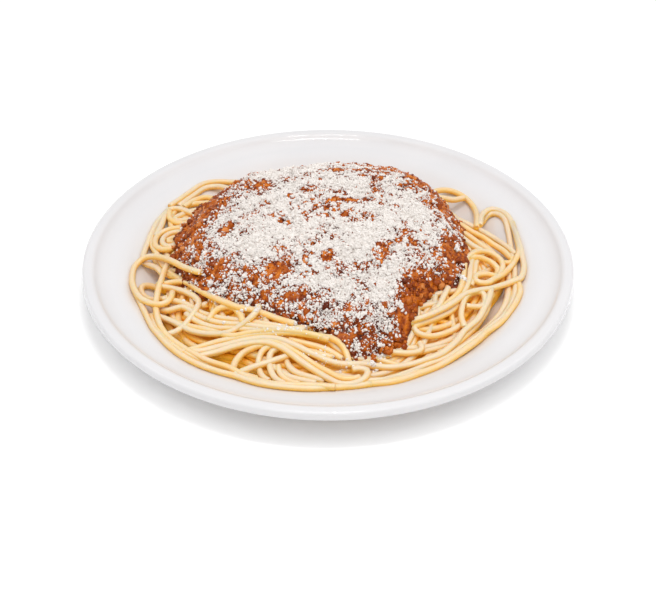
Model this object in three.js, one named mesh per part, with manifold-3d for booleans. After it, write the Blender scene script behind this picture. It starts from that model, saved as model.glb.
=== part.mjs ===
// A plate of spaghetti bolognese: a round white dinner plate whose well holds a tangled heap of cooked
// spaghetti, with a mound of lumpy meat sauce on top and grated cheese in clumps on the sauce.
// Millimetres, +Z up. The origin is the centre of the plate's foot, on the table. -Y faces the diner.
// The bare bed of pasta is a smooth mound. The strands that show lie over it, and the sauce sits on it.

import * as THREE from 'three';
import { mergeVertices } from 'three/addons/utils/BufferGeometryUtils.js';
import Module from 'manifold-3d';

const wasm = await Module();
wasm.setup();

// The plate
const PLATE_RADIUS = 130;
const LIP_TOP = 21.2;
const LIP_BOTTOM = 16.2;
const LIP_INNER_RADIUS = 124.2;
const LIP_CORNER_CUT = 2.2;
const RIM_OUTER_RADIUS = 120.5;
const RIM_OUTER_HEIGHT = 17;
const WELL_EDGE_RADIUS = 109;
const RIM_HEIGHT = 16.6;
const FLOOR_TOP = 4.6;
const FLOOR_RADIUS = 88;
const LIP_UNDER_RADIUS = 126.2;
const RIM_UNDER_RADIUS = 123.8;
const RIM_UNDER_HEIGHT = 14.4;
const WALL_UNDER_RADIUS = 110.5;
const WALL_UNDER_HEIGHT = 12.9;
const WALL_FOOT_RADIUS = 93;
const WALL_FOOT_HEIGHT = 3;
const FOOT_RADIUS = 88;
const FOOT_HEIGHT = 2;
const FOOT_RECESS_RADIUS = 79;
const FOOT_RECESS_HEIGHT = 1.2;
const PLATE_AROUND = 48;

// Free space between two nodes that touch
const GAP = 0.3;
const SMALL_GAP = 0.05;

// The bare bed of pasta
const BED_RADIUS = 93;
const BED_AROUND = 40;
const BED_EDGE_HEIGHT = 11.5;
const BED_EDGE_ROUND = 0.6;
const BED_SHOULDER = 8;
const BED_SHOULDER_START = 70;
const BED_SHOULDER_END = 101;
const BED_DOME = 21;
const BED_DOME_RADIUS = 80;
const BED_DOME_POWER = 2.6;
const BED_UNDER_RADII = [83, 87, BED_RADIUS - BED_EDGE_ROUND];
const BED_TOP_RADII = [BED_RADIUS - 2, 84, 75, 67, 56, 42, 24, 0];

// The sauce
const SAUCE_EDGE_THICKNESS = 1.5;
const SAUCE_THICKNESS = 5.5;
const SAUCE_EDGE_POWER = 6;
const SAUCE_RINGS = 12;
const SAUCE_SPOKES = 44;
const SAUCE_UNDERSIDE = 6;
const SAUCE_TOLERANCE = 0.06;
const ROOM_ROUND_SAUCE = 0.6;
const ROOM_HEIGHT = 80;
const ROOM_SPOKES = 72;
const RING_CROWDING = 0.9;

// Lumps of mince
const LUMPS = 170;
const LUMP_SEED = 11;
const LUMP_FIELD_RADIUS = 88;
const LUMP_REACH = [5, 10];
const LUMP_RISE = [1.2, 3.2];

// Clumps of grated cheese
const CLUMPS = 50;
const CLUMP_SEED = 5;
const CLUMP_SIZE = [1.7, 3.1];
const CLUMP_UNEVENNESS = [0.8, 1.3];
const CLUMP_FLATNESS = 0.7;
const CLUMP_LIFT = 0.3;
const CLUMP_FIELD_SHARE = 0.9;
const GOLDEN_ANGLE = Math.PI * (3 - Math.sqrt(5));

// Strands of spaghetti
const STRAND_RADIUS = 1.7;
const STRAND_SIDES = 5;
const STRAND_SINK = 0.6;
const STRAND_TOLERANCE = 0.12;
const LAYING_STEP = 1.5;
const SAG_RADIUS = 22;
const SAG_ROUNDS = 300;
const LENGTH_PER_PIECE = 20;
const TURN_PER_PIECE = 0.56;
const LEAST_PIECES = 3;

// The map of heights that the strands are laid on
const CELL = 1;
const MAP_HALF = 116;
const MAP_WIDTH = Math.round((2 * MAP_HALF) / CELL) + 1;

// A repeatable stream of numbers from 0 to 1.
function randomStream(seed) {
  let state = seed;
  return () => {
    state = (state + 0x6d2b79f5) | 0;
    let t = Math.imul(state ^ (state >>> 15), 1 | state);
    t = (t + Math.imul(t ^ (t >>> 7), 61 | t)) ^ t;
    return ((t ^ (t >>> 14)) >>> 0) / 2 ** 32;
  };
}

// A random number between the two ends of a span.
function pick([least, most], random) {
  return least + (most - least) * random();
}

// Manifold solids from three.js geometry, and back.
function solidFrom(geometry) {
  const bare = geometry.clone();
  for (const name of Object.keys(bare.attributes)) {
    if (name !== 'position') bare.deleteAttribute(name);
  }
  const merged = mergeVertices(bare, 1e-4);
  const triVerts = new Uint32Array(merged.index.array);
  const make = () =>
    new wasm.Manifold(
      new wasm.Mesh({ numProp: 3, vertProperties: merged.attributes.position.array, triVerts }),
    );
  const made = make();
  if (made.volume() > 0) return made;
  for (let i = 0; i < triVerts.length; i += 3) {
    [triVerts[i + 1], triVerts[i + 2]] = [triVerts[i + 2], triVerts[i + 1]];
  }
  return make();
}

function geometryFrom(solid) {
  const mesh = solid.getMesh();
  const geometry = new THREE.BufferGeometry();
  const points = new Float32Array(mesh.numVert * 3);
  for (let v = 0; v < mesh.numVert; v++) {
    for (let k = 0; k < 3; k++) {
      points[v * 3 + k] = mesh.vertProperties[v * mesh.numProp + k];
    }
  }
  geometry.setAttribute('position', new THREE.BufferAttribute(points, 3));
  geometry.setIndex(new THREE.BufferAttribute(new Uint32Array(mesh.triVerts), 1));
  return geometry;
}

// The one outer body of a union: loose scraps and sealed hollows are left out.
function outerBody(solid) {
  const bodies = solid.decompose();
  return bodies.reduce((best, body) => (body.volume() > best.volume() ? body : best));
}

// A section's outline: corners [radius, height, how far the corner is cut back, pieces of its curve].
function roundedOutline(corners) {
  const points = [];
  corners.forEach(([r, z, cut, pieces = 1], i) => {
    if (!cut) {
      points.push(new THREE.Vector2(r, z));
      return;
    }
    const corner = new THREE.Vector2(r, z);
    const towards = (other) => {
      const way = new THREE.Vector2(other[0], other[1]).sub(corner);
      return corner.clone().add(way.setLength(Math.min(cut, way.length() / 2)));
    };
    const [start, end] = [towards(corners[i - 1]), towards(corners[i + 1])];
    const curve = new THREE.QuadraticBezierCurve(start, corner, end);
    points.push(...curve.getPoints(pieces));
  });
  return points;
}

// An outline turned round the upright axis.
function turned(outline, around = PLATE_AROUND) {
  return solidFrom(new THREE.LatheGeometry(outline, around).rotateX(Math.PI / 2));
}

// Height of an outline at a radius, along straight lines between its points.
function heightOn(outline, radius) {
  for (let i = 1; i < outline.length; i++) {
    const [a, b] = [outline[i - 1], outline[i]];
    if (radius <= b.x && b.x > a.x) return a.y + ((b.y - a.y) * (radius - a.x)) / (b.x - a.x);
  }
  return outline[outline.length - 1].y;
}

// The plate's section, from the middle of its top out over the rim and back under it.

const plateTop = roundedOutline([
  [0, FLOOR_TOP],
  [FLOOR_RADIUS, FLOOR_TOP, 8, 2],
  [WELL_EDGE_RADIUS, RIM_HEIGHT, 5, 2],
  [RIM_OUTER_RADIUS, RIM_OUTER_HEIGHT, 2],
  [LIP_INNER_RADIUS, LIP_TOP, LIP_CORNER_CUT],
  [PLATE_RADIUS - 0.4, LIP_TOP, 1.8],
  [PLATE_RADIUS, LIP_BOTTOM + 0.8],
]);

const plateUnder = roundedOutline([
  [PLATE_RADIUS - 0.8, LIP_BOTTOM],
  [LIP_UNDER_RADIUS, LIP_BOTTOM],
  [RIM_UNDER_RADIUS, RIM_UNDER_HEIGHT],
  [WALL_UNDER_RADIUS, WALL_UNDER_HEIGHT, 5],
  [WALL_FOOT_RADIUS, WALL_FOOT_HEIGHT, 4],
  [FOOT_RADIUS + 1, FOOT_HEIGHT],
  [FOOT_RADIUS, 0],
  [FOOT_RECESS_RADIUS, 0],
  [FOOT_RECESS_RADIUS - 1.5, FOOT_RECESS_HEIGHT],
  [0, FOOT_RECESS_HEIGHT],
]);

const plate = turned([...plateTop, ...plateUnder]);

// The bare bed of pasta: a low shoulder out to the well's wall, and a dome under the sauce.

function smoothStep(t) {
  const u = Math.min(1, Math.max(0, t));
  return u * u * (3 - 2 * u);
}

function bedHeight(r) {
  const outwards = (r - BED_SHOULDER_START) / (BED_SHOULDER_END - BED_SHOULDER_START);
  const shoulder = BED_SHOULDER * (1 - smoothStep(outwards));
  const dome = BED_DOME * Math.max(0, 1 - (r / BED_DOME_RADIUS) ** BED_DOME_POWER);
  return BED_EDGE_HEIGHT + shoulder + dome;
}

function bedOutline() {
  const outline = [new THREE.Vector2(0, FLOOR_TOP + GAP)];
  for (const r of BED_UNDER_RADII) {
    outline.push(new THREE.Vector2(r, heightOn(plateTop, r) + GAP));
  }
  outline.push(new THREE.Vector2(BED_RADIUS, heightOn(plateTop, BED_RADIUS) + 2 * BED_EDGE_ROUND));
  for (const r of BED_TOP_RADII) {
    outline.push(new THREE.Vector2(r, bedHeight(r)));
  }
  return outline;
}

const bed = turned(bedOutline(), BED_AROUND);

// The sauce's edge in plan [x, y], anticlockwise from the right. A tongue of it runs down the front.

const SAUCE_EDGE = [
  [73, 0], [71, 26], [62, 50], [48, 66], [22, 78], [-8, 78], [-40, 70], [-64, 56], [-78, 34], [-83, 8],
  [-80, -14], [-71, -31], [-60, -44], [-49, -50], [-34, -57], [-14, -67], [1, -74], [11, -82], [18, -83],
  [25, -79.5], [38, -72], [41, -65.5], [50, -58.5], [59, -47], [69, -27], [73, -12],
];

// Distance from the middle to the sauce's edge in a direction.
function sauceReach(angle) {
  const full = 2 * Math.PI;
  const polar = SAUCE_EDGE.map(([x, y]) => [(Math.atan2(y, x) + full) % full, Math.hypot(x, y)]);
  const turn = (angle + full) % full;
  const next = polar.findIndex(([a]) => a > turn);
  const [a1, r1] = next < 0 ? [full, polar[0][1]] : polar[next];
  const [a0, r0] = next < 0 ? polar[polar.length - 1] : polar[next - 1];
  return r0 + ((r1 - r0) * (turn - a0)) / (a1 - a0);
}

// Broad swellings of the sauce: [x, y, reach, rise].
const SWELLS = [
  [48, 42, 26, 4.5],
  [-45, 40, 24, 1.5],
  [10, 55, 24, 2],
  [20, -62, 18, 1],
];

// Lumps of mince: round bumps at random places, each a raised cap.
function lumpField() {
  const random = randomStream(LUMP_SEED);
  const lumps = [];
  for (let i = 0; i < LUMPS; i++) {
    const r = LUMP_FIELD_RADIUS * Math.sqrt(random());
    const a = 2 * Math.PI * random();
    const reach = pick(LUMP_REACH, random);
    const rise = pick(LUMP_RISE, random);
    lumps.push([r * Math.cos(a), r * Math.sin(a), reach, rise]);
  }
  return (x, y) => {
    let height = 0;
    for (const [cx, cy, reach, rise] of lumps) {
      const d = Math.hypot(x - cx, y - cy) / reach;
      if (d < 1) height = Math.max(height, rise * Math.sqrt(1 - d * d));
    }
    return height;
  };
}

const lumpHeight = lumpField();

// Height of the sauce's top: the bed, a thickness that falls to the edge, the swells and the lumps.
function sauceTop(x, y) {
  const r = Math.hypot(x, y);
  const share = Math.min(1, r / sauceReach(Math.atan2(y, x)));
  const roundness = Math.sqrt(1 - share ** SAUCE_EDGE_POWER);
  const thickness = SAUCE_EDGE_THICKNESS + (SAUCE_THICKNESS - SAUCE_EDGE_THICKNESS) * roundness;
  let swell = 0;
  for (const [cx, cy, reach, rise] of SWELLS) {
    swell += rise * Math.exp(-(((x - cx) ** 2 + (y - cy) ** 2) / reach ** 2));
  }
  return bedHeight(r) + thickness + swell + lumpHeight(x, y);
}

// A closed solid between a round floor level and a height over a grid of rings and spokes.
function roundMound(reachAt, heightAt, floorLevel, rings, spokes) {
  const points = [[0, 0, heightAt(0, 0)]];
  const faces = [];
  for (let i = 1; i <= rings; i++) {
    for (let j = 0; j < spokes; j++) {
      const angle = (2 * Math.PI * (j + (i % 2) / 2)) / spokes;
      const share = i / rings;
      const r = reachAt(angle) * share ** RING_CROWDING;
      const [x, y] = [r * Math.cos(angle), r * Math.sin(angle)];
      points.push([x, y, heightAt(x, y)]);
    }
  }
  const at = (i, j) => 1 + (i - 1) * spokes + ((j + spokes) % spokes);
  for (let j = 0; j < spokes; j++) faces.push([0, at(1, j), at(1, j + 1)]);
  for (let i = 1; i < rings; i++) {
    const turn = i % 2 ? 0 : 1;
    for (let j = 0; j < spokes; j++) {
      if (turn) {
        faces.push([at(i, j), at(i + 1, j), at(i, j + 1)]);
        faces.push([at(i, j + 1), at(i + 1, j), at(i + 1, j + 1)]);
      } else {
        faces.push([at(i, j), at(i + 1, j), at(i + 1, j + 1)]);
        faces.push([at(i, j), at(i + 1, j + 1), at(i, j + 1)]);
      }
    }
  }
  const foot = points.length;
  for (let j = 0; j < spokes; j++) {
    const [x, y] = points[at(rings, j)];
    points.push([x, y, floorLevel]);
  }
  const middle = points.length;
  points.push([0, 0, floorLevel]);
  for (let j = 0; j < spokes; j++) {
    const [a, b] = [foot + j, foot + ((j + 1) % spokes)];
    faces.push([at(rings, j), a, b], [at(rings, j), b, at(rings, j + 1)], [middle, b, a]);
  }
  const geometry = new THREE.BufferGeometry();
  geometry.setAttribute('position', new THREE.Float32BufferAttribute(points.flat(), 3));
  geometry.setIndex(faces.flat());
  return solidFrom(geometry);
}

// Strands of spaghetti: each route is a short list of plan points [x, y] that a smooth curve joins.
// They are laid in this order, so a later strand lies over an earlier one.

const ROUTES = [
  // along the rim, from the left round the front to the right
  [[-91, 50], [-95, 39], [-99, 25], [-100, 11], [-99, 0]],
  [[-63, 76], [-71, 72], [-77, 65], [-84, 55]],
  [[-57, 80], [-66, 78], [-73, 73], [-80, 65], [-86, 56], [-89, 49]],
  [[-89, -54], [-84, -66], [-76, -76], [-66, -84], [-55, -91], [-42, -98], [-28, -103], [-12, -106],
    [4, -106], [18, -104], [32, -99]],
  [[18, -100], [29, -98], [39, -93], [49, -86], [59, -79], [67, -71], [74, -62]],
  [[98, -13], [97, -28], [93, -40], [86, -51], [77, -61]],
  [[102, -10], [100, -26], [96, -38], [89, -50], [79, -60], [71, -68]],
  // loops at the left
  [[-85, -43], [-76, -45], [-68, -49], [-60, -54], [-52, -59], [-44, -63]],
  [[-76, 43], [-84, 51], [-89, 48], [-91, 41], [-92, 33], [-94, 20]],
  [[-78, 28], [-86, 31], [-92, 28], [-95, 22], [-94, 14], [-89, 8], [-84, 6], [-78, 6]],
  [[-100, 3], [-94, -3], [-89, -11], [-85, -19]],
  [[-84, -17], [-91, -15], [-97, -18], [-97, -24], [-94, -30], [-89, -34], [-83, -36]],
  [[-84, -21], [-77, -22], [-71, -29], [-64, -39], [-55, -48], [-45, -56], [-36, -61], [-27, -66]],
  [[-59, -55], [-57, -52], [-53, -52], [-48, -55], [-45, -59], [-43, -64]],
  [[-82, -29], [-75, -33], [-69, -38], [-65, -43], [-66, -50], [-71, -57], [-78, -65]],
  [[-34, -58], [-37, -62], [-42, -66], [-51, -68], [-61, -66], [-69, -62], [-78, -55], [-86, -51]],
  [[-64, -29], [-71, -22], [-78, -14], [-85, -5], [-92, 2], [-98, 2], [-103, -6], [-104, -17], [-101, -29],
    [-96, -38], [-89, -43], [-83, -42], [-80, -35]],
  [[-85, -8], [-87, -20], [-88, -35], [-88, -48], [-84, -62], [-76, -74], [-67, -82], [-57, -88], [-46, -90]],
  // crossing strands at the front
  [[-46, -95], [-46, -88], [-43, -82], [-34, -77]],
  [[-29, -79], [-34, -84], [-35, -90], [-32, -97], [-27, -102]],
  [[-26, -87], [-27, -92], [-24, -97], [-20, -101]],
  [[-44, -98], [-36, -91], [-21, -86]],
  [[-60, -65], [-45, -69], [-33, -70], [-20, -72], [-8, -74], [1, -77], [8, -82], [10, -88]],
  [[-68, -79], [-60, -78], [-50, -76], [-40, -74], [-30, -74], [-20, -78], [-10, -84], [0, -88], [12, -90],
    [26, -91], [40, -88], [53, -80], [65, -69], [76, -54], [83, -38], [85, -28]],
  [[-34, -79], [-26, -80], [-18, -85], [-10, -93], [-2, -101], [6, -106], [14, -105], [19, -99], [18, -93]],
  // loops at the right
  [[20, -80], [32, -80], [43, -79], [47, -75], [45, -71]],
  [[67, -58], [60, -64], [51, -67], [44, -67], [44, -63], [53, -58], [62, -51], [67, -44]],
  [[71, -14], [69, -27], [66, -40], [58, -50], [46, -62]],
  [[84, -27], [84, -35], [80, -45], [73, -58], [64, -70], [55, -78]],
  [[75, -25], [79, -18], [84, -15], [89, -17]],
  [[82, 28], [92, 22], [100, 9]],
  [[74, 30], [82, 22], [90, 13], [96, 4], [93, -2]],
  [[72, -13], [77, -5], [84, 2], [90, 0], [92, -7], [90, -14], [85, -21]],
  [[68, -61], [67, -53], [69, -44], [74, -37], [79, -36], [81, -41], [77, -47], [69, -50]],
  [[81, 30], [83, 44], [80, 58], [75, 67], [68, 72], [60, 69]],
  [[84, 33], [88, 45], [94, 44], [98, 33], [99, 15]],
  [[83, 29], [85, 43], [90, 49], [96, 46], [100, 36], [102, 22], [103, 2], [102, -11]],
  [[101, 31], [103, 17], [103, 2], [100, -6], [93, -15], [85, -23], [76, -31], [66, -43], [57, -53], [47, -62]],
  // behind the sauce
  [[-66, 72], [-52, 81], [-34, 88], [-12, 92]],
  [[-26, 87], [4, 93], [32, 89], [54, 77], [68, 64]],
  [[-50, 76], [-26, 89], [6, 88], [34, 91], [58, 78]],
];

// A height map of what already lies on the plate, so that each strand rests on those under it.
const heightMap = new Float32Array(MAP_WIDTH * MAP_WIDTH);
for (let j = 0; j < MAP_WIDTH; j++) {
  for (let i = 0; i < MAP_WIDTH; i++) {
    const r = Math.hypot(i * CELL - MAP_HALF, j * CELL - MAP_HALF);
    const onBed = r < BED_RADIUS - 1 ? bedHeight(r) - STRAND_SINK : 0;
    heightMap[j * MAP_WIDTH + i] = Math.max(onBed, heightOn(plateTop, r) + GAP + SMALL_GAP);
  }
}

// Visits the map's cells under a strand, with how far its round top stands over its middle there.
function nearCells(x, y, visit) {
  const reach = STRAND_RADIUS;
  const [i0, i1] = [Math.ceil((x - reach + MAP_HALF) / CELL), Math.floor((x + reach + MAP_HALF) / CELL)];
  const [j0, j1] = [Math.ceil((y - reach + MAP_HALF) / CELL), Math.floor((y + reach + MAP_HALF) / CELL)];
  for (let j = j0; j <= j1; j++) {
    for (let i = i0; i <= i1; i++) {
      const d2 = (i * CELL - MAP_HALF - x) ** 2 + (j * CELL - MAP_HALF - y) ** 2;
      if (d2 < reach * reach) visit(j * MAP_WIDTH + i, Math.sqrt(reach * reach - d2));
    }
  }
}

// Lays one strand: it touches the highest thing under it, bends no tighter than a limp noodle does,
// and sags towards what is below between its high points.
function laidStrand(route) {
  const corners = route.map(([x, y]) => new THREE.Vector3(x, y, 0));
  const plan = new THREE.CatmullRomCurve3(corners, false, 'centripetal');
  const points = plan.getSpacedPoints(Math.round(plan.getLength() / LAYING_STEP));
  const least = points.map(({ x, y }) => {
    let level = 0;
    nearCells(x, y, (cell, rise) => {
      level = Math.max(level, heightMap[cell] + rise);
    });
    return level;
  });
  const sag = LAYING_STEP ** 2 / (2 * SAG_RADIUS);
  const level = [...least];
  for (let round = 0; round < SAG_ROUNDS; round++) {
    for (let i = 1; i < level.length - 1; i++) {
      level[i] = Math.max(least[i], (level[i - 1] + level[i + 1]) / 2 - sag);
    }
  }
  points.forEach((p, i) => {
    p.z = level[i];
    nearCells(p.x, p.y, (cell, rise) => {
      heightMap[cell] = Math.max(heightMap[cell], p.z + rise - STRAND_SINK);
    });
  });
  return points;
}

// Pieces for a strand's tube: more where it is long or turns a lot.
function piecesFor(points) {
  let [length, turning] = [0, 0];
  for (let i = 1; i < points.length - 1; i++) {
    const before = points[i].clone().sub(points[i - 1]);
    length += before.length();
    turning += before.angleTo(points[i + 1].clone().sub(points[i]));
  }
  return Math.max(LEAST_PIECES, Math.round(length / LENGTH_PER_PIECE + turning / TURN_PER_PIECE));
}

// A strand's tube along its laid path.
function strandSolid(points) {
  const path = new THREE.CatmullRomCurve3(points.filter((_, i) => i % 2 === 0 || i === points.length - 1));
  const section = new THREE.Shape();
  for (let k = 0; k < STRAND_SIDES; k++) {
    const a = (2 * Math.PI * k) / STRAND_SIDES;
    const [x, y] = [STRAND_RADIUS * Math.cos(a), STRAND_RADIUS * Math.sin(a)];
    if (k === 0) section.moveTo(x, y);
    else section.lineTo(x, y);
  }
  section.closePath();
  const options = { steps: piecesFor(points), bevelEnabled: false, extrudePath: path };
  return solidFrom(new THREE.ExtrudeGeometry(section, options));
}

const strands = ROUTES.map((route) => strandSolid(laidStrand(route)));
const tangle = strands.reduce((all, one) => all.add(one));
const roomReach = (angle) => sauceReach(angle) + ROOM_ROUND_SAUCE;
const roomForSauce = roundMound(roomReach, () => ROOM_HEIGHT, 0, 1, ROOM_SPOKES);
const spaghetti = outerBody(bed.add(tangle.subtract(roomForSauce))).simplify(STRAND_TOLERANCE);

// The sauce, resting on the bare bed, with clumps of grated cheese fused to it.

function clump(x, y, z, size, random) {
  const bare = new THREE.OctahedronGeometry(1, 0);
  bare.deleteAttribute('normal');
  bare.deleteAttribute('uv');
  const crumb = mergeVertices(bare, 1e-4);
  crumb.rotateX(Math.PI * random());
  crumb.rotateZ(Math.PI * random());
  const corners = crumb.attributes.position;
  for (let i = 0; i < corners.count; i++) {
    const stretch = size * pick(CLUMP_UNEVENNESS, random);
    const rise = corners.getZ(i) * stretch * CLUMP_FLATNESS;
    corners.setXYZ(i, x + corners.getX(i) * stretch, y + corners.getY(i) * stretch, z + rise);
  }
  return solidFrom(crumb);
}

const random = randomStream(CLUMP_SEED);
const wholeSauce = roundMound(sauceReach, sauceTop, SAUCE_UNDERSIDE, SAUCE_RINGS, SAUCE_SPOKES);
let sauce = wholeSauce.subtract(bed.translate([0, 0, GAP + SMALL_GAP]));
for (let i = 0; i < CLUMPS; i++) {
  const angle = i * GOLDEN_ANGLE;
  const r = CLUMP_FIELD_SHARE * sauceReach(angle) * Math.sqrt((i + 0.5) / CLUMPS);
  const [x, y] = [r * Math.cos(angle), r * Math.sin(angle)];
  const size = pick(CLUMP_SIZE, random);
  sauce = sauce.add(clump(x, y, sauceTop(x, y) + CLUMP_LIFT, size, random));
}
sauce = outerBody(sauce).simplify(SAUCE_TOLERANCE);

// The object

function sheet(name, solid, color, roughness) {
  const mesh = new THREE.Mesh(
    geometryFrom(solid),
    new THREE.MeshStandardMaterial({ color, roughness, metalness: 0, flatShading: true }),
  );
  mesh.name = name;
  return mesh;
}

const dish = new THREE.Group();
dish.add(sheet('plate', plate, 0xf1f0f2, 0.15));
dish.add(sheet('spaghetti', spaghetti, 0xeacb91, 0.4));
dish.add(sheet('meat_sauce', sauce, 0xa04a22, 0.3));

export default dish;
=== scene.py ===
# %% [markdown]
# # A plate of spaghetti bolognese
#
# A round white plate holds a tangled heap of cooked spaghetti, with a mound of lumpy meat sauce on it
# and grated cheese over the sauce. The CAD model gives the main shapes. This lesson dresses them: it
# lays every strand on the ones below it, heaps the sauce on them and scatters the cheese.
#
# All shapes are whole numpy arrays in millimetres, which one helper turns into a mesh in metres.

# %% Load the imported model
import math

import bpy
import numpy as np
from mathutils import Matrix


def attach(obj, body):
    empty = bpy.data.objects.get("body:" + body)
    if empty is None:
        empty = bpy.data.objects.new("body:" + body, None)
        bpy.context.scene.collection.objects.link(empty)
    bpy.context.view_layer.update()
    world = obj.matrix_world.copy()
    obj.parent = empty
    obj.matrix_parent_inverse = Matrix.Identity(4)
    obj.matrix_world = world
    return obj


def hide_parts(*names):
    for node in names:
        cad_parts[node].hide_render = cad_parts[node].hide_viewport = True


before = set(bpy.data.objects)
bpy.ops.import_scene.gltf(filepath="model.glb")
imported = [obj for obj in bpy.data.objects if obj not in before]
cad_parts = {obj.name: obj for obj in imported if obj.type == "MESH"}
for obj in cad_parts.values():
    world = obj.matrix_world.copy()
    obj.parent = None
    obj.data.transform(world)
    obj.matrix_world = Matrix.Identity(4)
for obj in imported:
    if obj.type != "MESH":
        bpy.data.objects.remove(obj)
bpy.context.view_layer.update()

MM = 0.001

# %% [markdown]
# ## Helpers for every shape
#
# Each piece here is a row of rings: the rings of a turned plate, of a strand, or of the mound of sauce.
# So one function joins rings into faces and closes both ends with a point, and three short ones place
# points round the middle. Another makes the mesh. Writing whole arrays with foreach_set is far quicker than
# adding vertices one at a time.

# %% Faces between rings, and a mesh from arrays
def ring_faces(rings, sides):
    """Corner numbers of a closed surface of rings of points. Quad (i, j) joins point j of ring i with
    point j of ring i + 1, point j + 1 of ring i + 1 and point j + 1 of ring i. A fan of triangles
    closes each end. The two end points come after the points of all the rings."""
    ring, side = np.meshgrid(np.arange(rings - 1), np.arange(sides), indexing="ij")
    after = (side + 1) % sides
    quads = np.stack([ring * sides + side, (ring + 1) * sides + side,
                      (ring + 1) * sides + after, ring * sides + after], axis=-1).reshape(-1, 4)
    side = np.arange(sides)
    after = (side + 1) % sides
    first, last = rings * sides, rings * sides + 1
    start_fan = np.stack([np.full(sides, first), side, after], axis=-1)
    edge = (rings - 1) * sides
    end_fan = np.stack([np.full(sides, last), edge + after, edge + side], axis=-1)
    return [quads, start_fan, end_fan]


def angles_round(count):
    """Equal angles once round a circle."""
    return np.arange(count) * 2 * np.pi / count


def from_middle(radius, angle):
    """The x and y of points at these distances and angles from the middle."""
    return radius * np.cos(angle), radius * np.sin(angle)


def half_turns(angle):
    """Angles brought between minus half a turn and half a turn."""
    return (angle + np.pi) % (2 * np.pi) - np.pi


def add_piece(name, points, face_sets, finish, slot, nodes, smooth=True):
    """Makes one object from points in mm and arrays of faces, gives it its material, lets it ride on
    the body and hides the CAD nodes it stands for."""
    mesh = bpy.data.meshes.new(name)
    corners = np.concatenate([faces.ravel() for faces in face_sets])
    sizes = np.concatenate([np.full(len(faces), faces.shape[1]) for faces in face_sets])
    starts = np.concatenate([[0], np.cumsum(sizes)[:-1]])
    mesh.vertices.add(len(points))
    mesh.vertices.foreach_set("co", (points * MM).astype(np.float32).ravel())
    mesh.loops.add(len(corners))
    mesh.loops.foreach_set("vertex_index", corners.astype(np.int32))
    mesh.polygons.add(len(sizes))
    mesh.polygons.foreach_set("loop_start", starts.astype(np.int32))
    mesh.update(calc_edges=True)
    mesh.polygons.foreach_set("use_smooth", np.full(len(sizes), smooth))
    mesh.materials.append(finish.material)
    piece = bpy.data.objects.new(name, mesh)
    bpy.context.scene.collection.objects.link(piece)
    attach(piece, "root")
    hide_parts(*nodes)
    print(f"{name}: {int((sizes - 2).sum())} triangles")
    return piece


def add_attribute(piece, name, values):
    """Stores one number for each vertex under a name that a material can read."""
    attribute = piece.data.attributes.new(name, "FLOAT", "POINT")
    attribute.data.foreach_set("value", values.astype(np.float32))


# %% [markdown]
# ## Shader maths as expressions
#
# A material's pattern is arithmetic on noise. Adding a Math node for every plus sign hides the idea, so a
# small class wraps a socket and lets Python's own operators add those nodes. A second class is a whole
# finish: it has one method that adds any other node.

# %% A socket that can be added and multiplied, and a finish
class Value:
    """A number that varies over a surface."""

    def __init__(self, finish, socket):
        self.finish = finish
        self.socket = socket

    def math(self, operation, first, second):
        return self.finish.node("ShaderNodeMath", {"operation": operation}, {0: first, 1: second})

    def __add__(self, other):
        return self.math("ADD", self, other)

    def __radd__(self, other):
        return self.math("ADD", other, self)

    def __sub__(self, other):
        return self.math("SUBTRACT", self, other)

    def __rsub__(self, other):
        return self.math("SUBTRACT", other, self)

    def __mul__(self, other):
        return self.math("MULTIPLY", self, other)

    def __rmul__(self, other):
        return self.math("MULTIPLY", other, self)


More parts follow.
